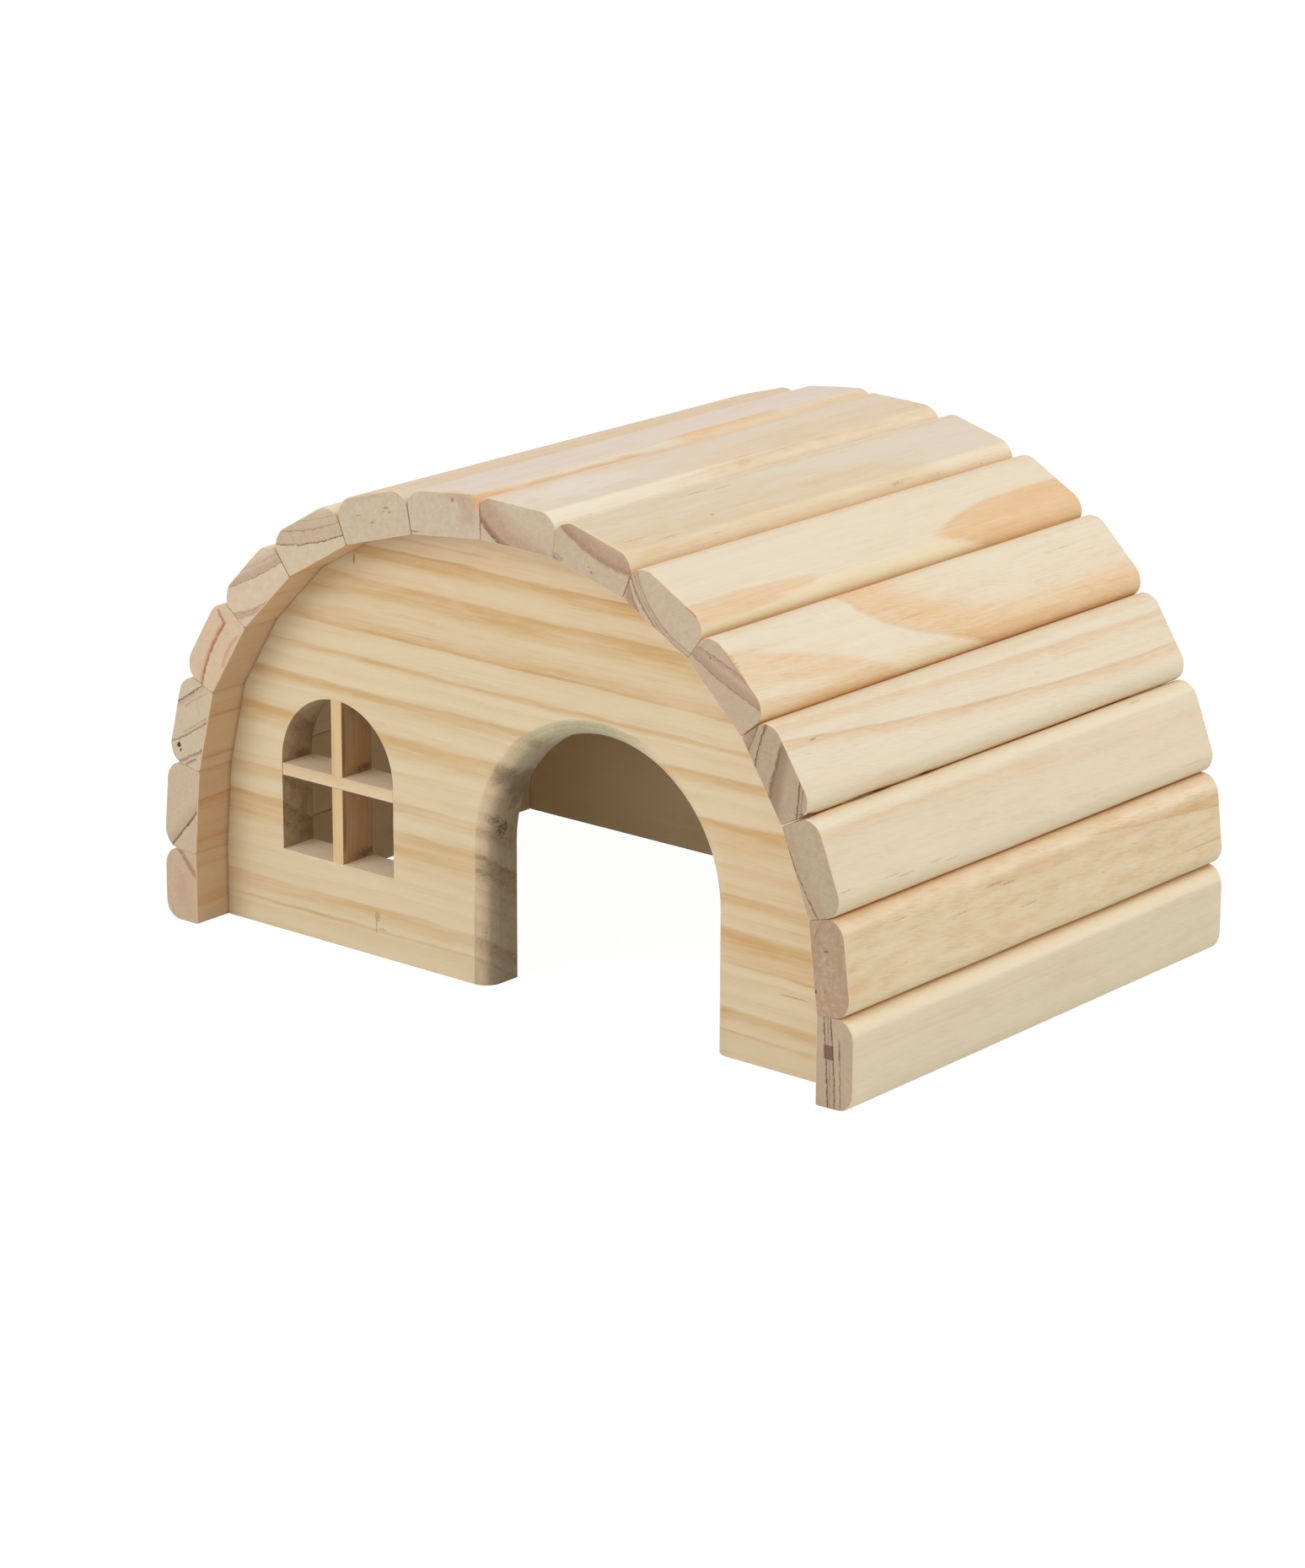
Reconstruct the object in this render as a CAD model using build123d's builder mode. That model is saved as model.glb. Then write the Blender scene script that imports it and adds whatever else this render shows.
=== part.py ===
"""Arched wooden hamster house: sixteen edge-rounded slats glued over two end walls.

Frame: X runs across the front (window side is -X), Y runs from front to back, Z is up.
The origin is at the middle of the footprint, on the floor. All lengths are in millimetres.
"""

import os
from math import cos, radians, sin

from build123d import *

# ---------------------------------------------------------------- driving dimensions
overall_width = 190.0
overall_height = 110.0
overall_depth = 130.0

slat_thickness = 9.5
slat_edge_radius = 4.0  # round on the outer long edges
crown_edge_radius = 2.4  # the two edges that meet at the crown are rounded less
joint_gap = 0.3  # hairline between neighbouring slats

wall_thickness = 9.3
wall_setback = 10.0  # how far the slats run past the outer face of each end wall

door_width = 60.6
door_height = 60.5
door_centre_x = 20.9
door_edge_radius = 3.8  # round on the door's front edge

window_width = 32.4
window_height = 36.4
window_centre_x = -52.3
window_sill_height = 18.6
mullion_width = 3.0
transom_height = 2.7
transom_above_sill = 18.1  # sill to the transom's centre line

# Lean of each slat's section in degrees from upright, from the left foot over the crown
# to the right foot. The arch is assembled by hand, so its two sides differ a little.
slat_leans = (0, 5, 14, 32, 45, 60, 74, 84, 92, 105.5, 119.5, 134, 147.5, 158.5, 173, 180)
crown_joint = 8  # the joint at the top of the arch, counted from the left foot
left_foot_share = 0.84  # height of the left foot slat, in slat widths
floor_overrun = 1.0  # how far the door's cut runs below the floor

# ---------------------------------------------------------------- derived places
inner_width = overall_width - 2 * slat_thickness
inner_height = overall_height - slat_thickness
front_wall_inner = Plane.XZ.offset(overall_depth / 2 - wall_setback - wall_thickness)
front_wall_face = Plane.XZ.offset(overall_depth / 2 - wall_setback)
back_wall_face = Plane.XZ.offset(wall_setback - overall_depth / 2)
lap_depth = wall_thickness / 2
transom_z = window_sill_height + transom_above_sill


def arch_joints() -> list[Vector]:
    """Inner corners where neighbouring slats meet, from the left foot to the right foot."""
    across = [sin(radians(lean)) for lean in slat_leans]
    upward = [cos(radians(lean)) for lean in slat_leans]
    upward[0] = left_foot_share
    step_x = inner_width / sum(across)
    step_z = inner_height / sum(upward[:crown_joint])
    points = [Vector(-inner_width / 2, 0)]
    for run, rise in zip(across[:-1], upward[:-1]):
        points.append(points[-1] + Vector(run * step_x, rise * step_z))
    points.append(Vector(points[-1].X, 0))
    return points


joints = arch_joints()
last_joint = len(joints) - 1


def slat_normal(index: int) -> Vector:
    """Unit vector out of the arch, square to the slat's inner face."""
    chord = (joints[index + 1] - joints[index]).normalized()
    return chord.rotate(Axis.Z, 90)


def mitre_direction(joint: int) -> Vector:
    """Outward direction of the cut between the two slats at a joint, or of a foot's cut."""
    before = slat_normal(max(joint - 1, 0))
    after = slat_normal(min(joint, last_joint - 1))
    return (before + after).normalized()


def mitred_end(index: int, joint: int, inward: Vector) -> tuple[Vector, Vector]:
    """Inner and outer corner of a slat at one joint, set back by half the hairline."""
    mitre = mitre_direction(joint)
    reach = mitre.dot(slat_normal(index))
    is_foot = joint in (0, last_joint)
    setback = 0 if is_foot else joint_gap / 2 / reach
    inner = joints[joint] + inward * setback
    return inner, inner + mitre * (slat_thickness / reach)


def edge_radius(joint: int) -> float:
    """Round of the outer edges that meet at a joint."""
    return crown_edge_radius if joint == crown_joint else slat_edge_radius


def arched_profile(width: float, height: float, centre_x: float, base: float) -> Sketch:
    """Outline of a round-headed opening: straight sides under a half circle."""
    left = centre_x - width / 2
    right = centre_x + width / 2
    spring = base + height - width / 2
    with BuildSketch() as profile:
        with BuildLine():
            Polyline((left, spring), (left, base), (right, base), (right, spring))
            ThreePointArc((left, spring), (centre_x, base + height), (right, spring))
        make_face()
    return profile.sketch


door_profile = arched_profile(
    door_width, door_height + floor_overrun, door_centre_x, -floor_overrun
)
window_profile = arched_profile(
    window_width, window_height, window_centre_x, window_sill_height
)

os.makedirs("parts", exist_ok=True)

# ---------------------------------------------------------------- slats of the arch
for index in range(len(slat_leans)):
    chord = (joints[index + 1] - joints[index]).normalized()
    start_inner, start_outer = mitred_end(index, index, chord)
    end_inner, end_outer = mitred_end(index, index + 1, chord * -1)
    with BuildPart() as slat:
        with BuildSketch(Plane.XZ) as section:
            with BuildLine():
                Polyline(start_inner, start_outer, end_outer, end_inner, close=True)
            make_face()
            start_corner = section.vertices().sort_by_distance(start_outer)[0]
            fillet(start_corner, radius=edge_radius(index))
            end_corner = section.vertices().sort_by_distance(end_outer)[0]
            fillet(end_corner, radius=edge_radius(index + 1))
        extrude(amount=overall_depth / 2, both=True)
    slat.part.label = f"slat_{index + 1:02d}"
    export_step(slat.part, f"parts/{slat.part.label}.step")

# ---------------------------------------------------------------- front wall
with BuildPart() as front_wall:
    with BuildSketch(front_wall_inner):
        with BuildLine():
            Polyline(*joints, close=True)
        make_face()
        add(door_profile, mode=Mode.SUBTRACT)
        add(window_profile, mode=Mode.SUBTRACT)
    extrude(amount=wall_thickness)
    door_edges = (
        front_wall.faces()
        .sort_by(Axis.Y)[0]
        .outer_wire()
        .edges()
        .filter_by_position(Axis.X, door_centre_x - door_width / 2, door_centre_x + door_width / 2)
        .filter_by_position(Axis.Z, 0, door_height, inclusive=(False, True))
    )
    fillet(door_edges, radius=door_edge_radius)
front_wall.part.label = "front_wall"
export_step(front_wall.part, "parts/front_wall.step")

# ---------------------------------------------------------------- back wall
with BuildPart() as back_wall:
    with BuildSketch(back_wall_face):
        with BuildLine():
            Polyline(*joints, close=True)
        make_face()
    extrude(amount=wall_thickness)
back_wall.part.label = "back_wall"
export_step(back_wall.part, "parts/back_wall.step")

# ---------------------------------------------------------------- upright window bar
with BuildPart() as window_mullion:
    with BuildSketch(front_wall_inner):
        with Locations((window_centre_x, window_sill_height)):
            Rectangle(mullion_width, window_height, align=(Align.CENTER, Align.MIN))
        add(window_profile, mode=Mode.INTERSECT)
    extrude(amount=wall_thickness)
    with BuildSketch(front_wall_face):
        with Locations((window_centre_x, transom_z)):
            Rectangle(mullion_width, transom_height)
    extrude(amount=-lap_depth, mode=Mode.SUBTRACT)
window_mullion.part.label = "window_mullion"
export_step(window_mullion.part, "parts/window_mullion.step")

# ---------------------------------------------------------------- level window bar
with BuildPart() as window_transom:
    with BuildSketch(front_wall_inner):
        with Locations((window_centre_x, transom_z)):
            Rectangle(window_width, transom_height)
    extrude(amount=wall_thickness)
    with BuildSketch(front_wall_inner):
        with Locations((window_centre_x, transom_z)):
            Rectangle(mullion_width, transom_height)
    extrude(amount=lap_depth, mode=Mode.SUBTRACT)
window_transom.part.label = "window_transom"
export_step(window_transom.part, "parts/window_transom.step")
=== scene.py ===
"""Arched pine hamster house: the looks of its slats, end walls and window bars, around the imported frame.

The frame is in metres: X runs across the front, Y from front to back, Z up from the floor.
Every board also has its own axes in millimetres: across its width, along its grain, and deep through it.
"""

import logging
import math
from dataclasses import dataclass, fields
from enum import Enum
from functools import reduce

import bpy
import numpy as np
from mathutils import Matrix, Vector


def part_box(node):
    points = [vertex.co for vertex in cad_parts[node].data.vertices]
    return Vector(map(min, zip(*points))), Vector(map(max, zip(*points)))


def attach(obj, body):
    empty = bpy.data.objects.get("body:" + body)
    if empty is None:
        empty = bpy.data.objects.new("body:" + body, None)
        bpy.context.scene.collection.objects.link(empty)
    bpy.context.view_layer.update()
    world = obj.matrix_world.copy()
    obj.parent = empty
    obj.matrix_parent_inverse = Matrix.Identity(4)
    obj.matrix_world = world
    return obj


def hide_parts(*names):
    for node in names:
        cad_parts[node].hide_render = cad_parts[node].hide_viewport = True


log = logging.getLogger("hamster_house")

MM = 0.001
BODY = "root"

Colour = tuple[float, float, float]
Point = tuple[float, float, float]
Spot = tuple[float, float]
Parts = tuple["Signal", "Signal", "Signal"]  # across, along and deep

SEED_STRIDE = (37.3, 61.1, 23.7)  # how far apart two seeds read the noise, in millimetres
DARKER = (0.72, 0.60, 0.44)  # what fully darkened wood is multiplied by
LIGHTER = 0.30  # how far fully lightened wood goes towards white
GROOVE_SHADE = (0.84, 0.73, 0.60)  # painted shade: warm darkening on a slat's rounding next to its joint
OVERHANG_SHADE = (0.84, 0.71, 0.59)  # painted shade on the inner face of a slat where it sticks out past a wall
CORNER_SHADE = (0.5, 0.42, 0.34)  # deeper painted shade on the same face, close to the wall
WARM_STAIN = (1.0, 0.88, 0.74)  # on the cuts of a wall that look browner

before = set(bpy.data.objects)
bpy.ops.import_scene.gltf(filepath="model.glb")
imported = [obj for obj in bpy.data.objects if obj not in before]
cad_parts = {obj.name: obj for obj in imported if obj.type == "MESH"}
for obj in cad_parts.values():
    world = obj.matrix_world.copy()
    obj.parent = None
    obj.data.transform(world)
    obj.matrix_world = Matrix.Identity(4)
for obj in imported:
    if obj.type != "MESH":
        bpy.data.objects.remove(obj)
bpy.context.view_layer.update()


def srgb(red: int, green: int, blue: int) -> Colour:
    """Turn a colour as a screen shows it, 0 to 255, into linear light, 0 to 1.

    The sRGB curve is a straight line up to 0.04045, and above it a shifted value to the power 2.4.

    Args:
        red: red channel.
        green: green channel.
        blue: blue channel.

    Returns:
        The three linear channels.
    """
    channels = np.array([red, green, blue]) / 255
    linear = np.where(channels <= 0.04045, channels / 12.92, ((channels + 0.055) / 1.055) ** 2.4)
    return tuple(float(value) for value in linear)


# ------------------------------------------------------------------ shader maths


class Blend(Enum):
    """How a second colour is laid over a first."""

    COVER = "MIX"
    STAIN = "MULTIPLY"


@dataclass(frozen=True)
class Signal:
    """One output socket of a shader, with the sums that are written on it as Python."""

    graph: "Graph"
    socket: bpy.types.NodeSocket

    def _math(self, operation: str, first: "Signal | float", second: "Signal | float") -> "Signal":
        """Return one Math node's result on two values."""
        return self.graph.node("Math", {"operation": operation}, {0: first, 1: second})

    def __add__(self, other: "Signal | float") -> "Signal":
        """Return the sum."""
        return self._math("ADD", self, other)

    def __sub__(self, other: "Signal | float") -> "Signal":
        """Return the difference."""
        return self._math("SUBTRACT", self, other)

    def __rsub__(self, other: float) -> "Signal":
        """Return a number less this."""
        return self._math("SUBTRACT", other, self)

    def __mul__(self, other: "Signal | float") -> "Signal":
        """Return the product."""
        return self._math("MULTIPLY", self, other)

    def __truediv__(self, other: "Signal | float") -> "Signal":
        """Return the quotient."""
        return self._math("DIVIDE", self, other)

    def __pow__(self, other: float) -> "Signal":
        """Return this raised to a power."""
        return self._math("POWER", self, other)

    def __neg__(self) -> "Signal":
        """Return this with its sign turned."""
        return self._math("MULTIPLY", self, -1.0)

    def __abs__(self) -> "Signal":
        """Return the size without its sign."""
        return self._math("ABSOLUTE", self, 0.0)

    def least(self, other: "Signal | float") -> "Signal":
        """Return the smaller of the two."""
        return self._math("MINIMUM", self, other)

    def most(self, other: "Signal | float") -> "Signal":
        """Return the larger of the two."""
        return self._math("MAXIMUM", self, other)

    def fraction(self) -> "Signal":
        """Return what is left over the whole number below."""
        return self._math("FRACT", self, 0.0)

    def step(self, low: float, high: float) -> "Signal":
        """Return 0 below low, 1 above high and a smooth rise between, or a fall where low is the larger."""
        settings = {"interpolation_type": "SMOOTHSTEP"}
        return self.graph.node("MapRange", settings, {"Value": self, "From Min": low, "From Max": high})

    def within(self, start: float, stop: float, soft: float) -> "Signal":
        """Return 1 between start and stop and 0 outside, with soft as half the width of each change."""
        return self.step(start - soft, start + soft) * self.step(stop + soft, stop - soft)

    def between(self, first: float, second: float) -> "Signal":
        """Return the first number where this is 0 and the second where it is 1."""
        return self * (second - first) + first

    def parts(self) -> Parts:
        """Return a vector's three parts."""
        outputs = self.graph.node("SeparateXYZ", {}, {0: self}).socket.node.outputs
        return tuple(Signal(self.graph, output) for output in outputs)


class Graph:
    """A node tree, filled by expressions on signals."""

    def __init__(self, owner: bpy.types.Material | bpy.types.World) -> None:
        """Empty the owner's node tree.

        Args:
            owner: the material or world whose nodes these are.
        """
        owner.use_nodes = True
        self.owner = owner
        self.tree = owner.node_tree
        self.tree.nodes.clear()

    def node(
        self,
        kind: str,
        settings: dict[str, object] | None = None,
        inputs: dict[str | int, object] | None = None,
        output: str | int = 0,
    ) -> Signal:
        """Add a node, set it up and feed its sockets.

        Args:
            kind: the node's type without its ShaderNode prefix.
            settings: the node's own properties, which are set first.
            inputs: a value or a signal for each named or numbered input socket.
            output: the name or number of the socket to return.

        Returns:
            The chosen output.
        """
        made = self._make(kind, settings, inputs)
        return Signal(self, made.outputs[output])

    def finish(self, kind: str, inputs: dict[str | int, object]) -> None:
        """Add the output node of a material or a world and feed it."""
        self._make(kind, {}, inputs)

    def _make(
        self, kind: str, settings: dict[str, object] | None, inputs: dict[str | int, object] | None
    ) -> bpy.types.Node:
        """Add a node with its settings and inputs."""
        made = self.tree.nodes.new("ShaderNode" + kind)
        for key, value in (settings or {}).items():
            setattr(made, key, value)
        for key, value in (inputs or {}).items():
            self._feed(made.inputs[key], value)
        return made

    def _feed(self, socket: bpy.types.NodeSocket, value: object) -> None:
        """Link a signal to a socket, or set a plain value on it."""
        if isinstance(value, Signal):
            self.tree.links.new(value.socket, socket)
        elif socket.type == "RGBA":
            socket.default_value = (*value[:3], 1.0)
        else:
            socket.default_value = value

    def mix(self, share: Signal | float, first: object, second: object, blend: Blend = Blend.COVER) -> Signal:
        """Return a blend of two colours: the first up to a share of 0, the second from a share of 1 on."""
        settings = {"data_type": "RGBA", "blend_type": blend.value, "clamp_factor": True}
        return self.node("Mix", settings, {0: share, 6: first, 7: second}, 2)

    def noise(
        self, place: Signal, grain: Point, seed: float, detail: float = 2.0, turn: Point = (0.0, 0.0, 0.0)
    ) -> Signal:
        """Return smooth noise, about -0.5 to 0.5, with spots as large as grain in millimetres.

        Args:
            place: the point to read it at.
            grain: size of a spot across, along and deep.
            seed: picks another part of the noise.
            detail: how many finer layers it has.
            turn: turns the spots about the board's three axes, in degrees.

        Returns:
            The noise.
        """
        inputs = {
            "Vector": place,
            "Location": tuple(seed * stride for stride in SEED_STRIDE),
            "Rotation": tuple(math.radians(angle) for angle in turn),
            "Scale": grain,
        }
        scaled = self.node("Mapping", {"vector_type": "TEXTURE"}, inputs)
        return self.node("TexNoise", {}, {"Vector": scaled, "Scale": 1.0, "Detail": detail}, "Fac") - 0.5

    def vary(self, colour: object, amount: Signal) -> Signal:
        """Darken and warm a colour where amount is above 0, and lighten it where it is below."""
        darker = self.mix(1.0, colour, DARKER, Blend.STAIN)
        lighter = self.mix(LIGHTER, colour, (1.0, 1.0, 1.0))
        return self.mix(-amount, self.mix(amount, colour, darker), lighter)


# ------------------------------------------------------------------ what the grain of a board shows


@dataclass(frozen=True)
class BoardAxes:
    """Where a board's own axes lie in the frame: x across it, y along its grain, z deep through it."""

    origin: Point
    across: Point
    along: Point
    deep: Point

    @property
    def turn(self) -> Point:
        """Turn of the board's axes, as the angles that a Mapping node takes."""
        return tuple(Matrix((self.across, self.along, self.deep)).transposed().to_euler())

    def place(self, graph: Graph) -> Signal:
        """Return the board's own coordinates, in millimetres, at each point of its surface."""
        here = graph.node("TexCoord", output="Object")
        settings = {"vector_type": "TEXTURE"}
        inputs = {"Vector": here, "Location": self.origin, "Rotation": self.turn, "Scale": (MM, MM, MM)}
        return graph.node("Mapping", settings, inputs)

    def facing(self, graph: Graph) -> Parts:
        """Return how far the surface faces across, along and deep, each -1 to 1."""
        normal = graph.node("TexCoord", output="Normal")
        settings = {"vector_type": "TEXTURE"}
        return graph.node("Mapping", settings, {"Vector": normal, "Rotation": self.turn}).parts()


@dataclass(frozen=True)
class Place:
    """A point's place on a board, as the shader knows it."""

    graph: Graph
    point: Signal
    across: Signal
    along: Signal
    deep: Signal
    travel: Signal  # 0 at the board's near end, 1 at its far end
    warp: Signal  # how far the grain strays across, in millimetres
    rough: Signal  # fine noise that makes small marks ragged
    blotch: Signal  # coarse noise that makes patches uneven
    facing: Parts  # how far the surface faces across, along and deep, each -1 to 1
    seed: float

    def noise(self, grain: Point, layer: int, detail: float = 2.0, turn: Point = (0.0, 0.0, 0.0)) -> Signal:
        """Return noise over the board, where each layer number reads another part of it."""
        return self.graph.noise(self.point, grain, self.seed + layer, detail, turn)


@dataclass(frozen=True)
class GrowthStreak:
    """Late wood that runs along a board: crisp on one side, fading on the other."""

    across: float  # where its crisp side starts, at the board's near end
    wander: float = 0.0  # how far across it has moved at the far end
    bow: float = 0.0  # how far its middle bows out of the straight
    fade: float = 3.0  # its width, towards +across, or towards -across where negative
    strength: float = 0.5
    edge: float = 0.0  # strength of the thin dark line on its crisp side
    lean: float = 0.0  # how far across it moves per millimetre of depth
    ends: Spot | None = None  # along the board, where it fades in and out
    crisp: float = 0.5  # how wide the rise on its crisp side is

    def marks(self, place: Place) -> tuple[Signal, Signal | None]:
        """Return how much late wood and how much dark line, if any, it adds."""
        shift = place.across + place.warp - self.across
        if self.wander:
            shift = shift - place.travel * self.wander
        if self.bow:
            shift = shift - place.travel * (1 - place.travel) * (4 * self.bow)
        if self.lean:
            shift = shift - place.deep * self.lean
        side = shift * math.copysign(1.0, self.fade)
        band = side.step(-self.crisp / 2, self.crisp / 2) * side.step(abs(self.fade), self.crisp / 2)
        band = band * self.strength
        line = side.step(-0.3, 0.05) * side.step(0.7, 0.1) * self.edge if self.edge else None
        if self.ends:
            shown = place.along.within(*self.ends, 5)
            band, line = band * shown, line * shown if line else None
        return band, line


@dataclass(frozen=True)
class GrowthTongue:
    """Late wood that a flat cut opens into a tongue: crisp at its rim, fading towards its core."""

    across: float  # middle of the tongue
    half_width: float
    shoulder: float  # along the board: where its straight sides turn into its tip
    reach: float  # length of the tip, negative where it points to the near end
    core: float = 0.0  # share of its size at which it has faded out
    strength: float = 0.6
    edge: float = 0.0  # strength of the thin dark line along its rim
    crisp: float = 0.6  # how wide the rise at its rim is
    point: float = 2.0  # 2 for a round tip, less for a sharper one

    def marks(self, place: Place) -> tuple[Signal, Signal | None]:
        """Return how much late wood and how much dark line, if any, it adds."""
        side = abs(place.across + place.warp - self.across) / self.half_width
        tip = ((place.along - self.shoulder) / self.reach).most(0.0)
        rim = (side**self.point + tip**self.point) ** (1 / self.point)
        crisp = self.crisp / 2 / self.half_width
        band = rim.step(1 + crisp, 1 - crisp)
        if self.core:
            band = band * rim.step(self.core, 0.75 + 0.25 * self.core)
        line = rim.step(1 + crisp, 1.0) * rim.step(1 - 2.5 * crisp, 1 - 0.4 * crisp) if self.edge else None
        return band * self.strength, line * self.edge if line else None


@dataclass(frozen=True)
class RingLine:
    """A growth ring on sawn end grain, from one point of the section to another."""

    start: Spot  # across, deep
    end: Spot
    sag: float = 0.0  # how far its middle lies to the left of the straight line
    fade: float = 1.5  # width of the tinted wood to its left, or to its right where negative
    line: float = 0.5  # strength of its dark line
    fill: float = 0.35  # strength of the tinted wood
    width: float = 0.45  # of its dark line
    short: bool = False  # whether it stops at its two points, instead of running on

    def marks(self, place: Place, wobble: Signal) -> tuple[Signal, Signal]:
        """Return how much late wood and how much dark line it adds."""
        run = np.subtract(self.end, self.start)
        span = float(np.hypot(*run))
        tangent = [float(part) / span for part in run]
        over = place.across - self.start[0]
        up = place.deep - self.start[1]
        side = up * tangent[0] - over * tangent[1] + wobble
        if self.sag or self.short:
            travel = (over * tangent[0] + up * tangent[1]) / span
        if self.sag:
            side = side - travel * (1 - travel) * (4 * self.sag)
        side = side * math.copysign(1.0, self.fade)
        fade = abs(self.fade)
        fill = side.step(-0.15, 0.2) * side.step(fade, fade * 0.3) * self.fill
        line = side.step(-0.5 * self.width, 0.0) * side.step(self.width, 0.1 * self.width) * self.line
        if self.short:
            shown = travel.step(-0.08, 0.06) * travel.step(1.08, 0.94)
            return fill * shown, line * shown
        return fill, line


class MarkShape(Enum):
    """Outline of a fleck."""

    ROUND = "round"
    SQUARE = "square"


@dataclass(frozen=True)
class Fleck:
    """A small mark, such as a pin knot, a torn fibre, a resin canal or a blush in the wood."""

    at: Point  # across, along, deep
    half: Point  # half its size across, along and deep
    strength: float = 0.7
    ragged: float = 0.8  # how far noise eats into its edge
    colour: Colour | None = None  # the timber's own fleck colour where it is not given
    shape: MarkShape = MarkShape.ROUND
    soft: float = 0.35  # how much of its size its edge takes

    def mask(self, place: Place) -> Signal:
        """Return the fleck's strength inside it and 0 outside."""
        graph = place.graph
        offset = graph.node("VectorMath", {"operation": "SUBTRACT"}, {0: place.point, 1: self.at})
        scaled = graph.node("VectorMath", {"operation": "DIVIDE"}, {0: offset, 1: self.half})
        if self.shape is MarkShape.SQUARE:
            across, along, deep = scaled.parts()
            reach = abs(across).most(abs(along)).most(abs(deep))
        else:
            reach = graph.node("VectorMath", {"operation": "LENGTH"}, {0: scaled}, "Value")
        # Marks under a millimetre and torn ones take the fine noise, wider patches the coarse one.
        fine = min(self.half[0], self.half[2]) < 1.0 or self.ragged > 2
        rough = place.rough if fine else place.blotch
        return (reach + rough * self.ragged).step(1.1, 1.1 - self.soft) * self.strength


@dataclass(frozen=True)
class Timber:
    """The colours of one board, all as linear light."""

    pale: Colour  # early wood on the long faces
    end: Colour  # end grain
    late: Colour = srgb(225, 184, 134)  # late wood on the long faces
    line: Colour = srgb(190, 138, 88)  # the thin dark edge of a streak
    left_rounding: Colour = srgb(234, 220, 192)  # the rounded long edges, towards the two feet; partly the wood's tone, partly painted light and shade, lighter or darker than the face as light falls on them
    right_rounding: Colour = srgb(234, 216, 182)
    arris: Colour = srgb(238, 210, 170)  # the eased edge between a face and an end
    inner_arris: Colour = srgb(244, 212, 164)  # the same on the inner face
    end_late: Colour = srgb(172, 138, 115)
    end_line: Colour = srgb(118, 80, 62)
    end_blush: Colour = srgb(202, 168, 144)  # pinkish blotches of end grain
    end_sage: Colour = srgb(190, 180, 150)  # greenish blotches of end grain
    cut: Colour = srgb(184, 176, 142)  # what a cutter left along the grain
    lit_sill: Colour = srgb(255, 238, 206)  # painted light: what a cutter left level and facing up, made near white as light falls on it from above
    inside: Colour = srgb(255, 234, 196)  # painted light: the faces towards the inside, made paler so that the shaded inside looks lighter
    joint: Colour = srgb(240, 200, 146)  # the glued sides between neighbours
    seam: Colour = srgb(160, 112, 70)  # glue squeezed out at the ends of a joint
    canal: Colour = srgb(158, 118, 74)  # short dashes of resin
    fleck: Colour = srgb(110, 76, 46)


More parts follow.
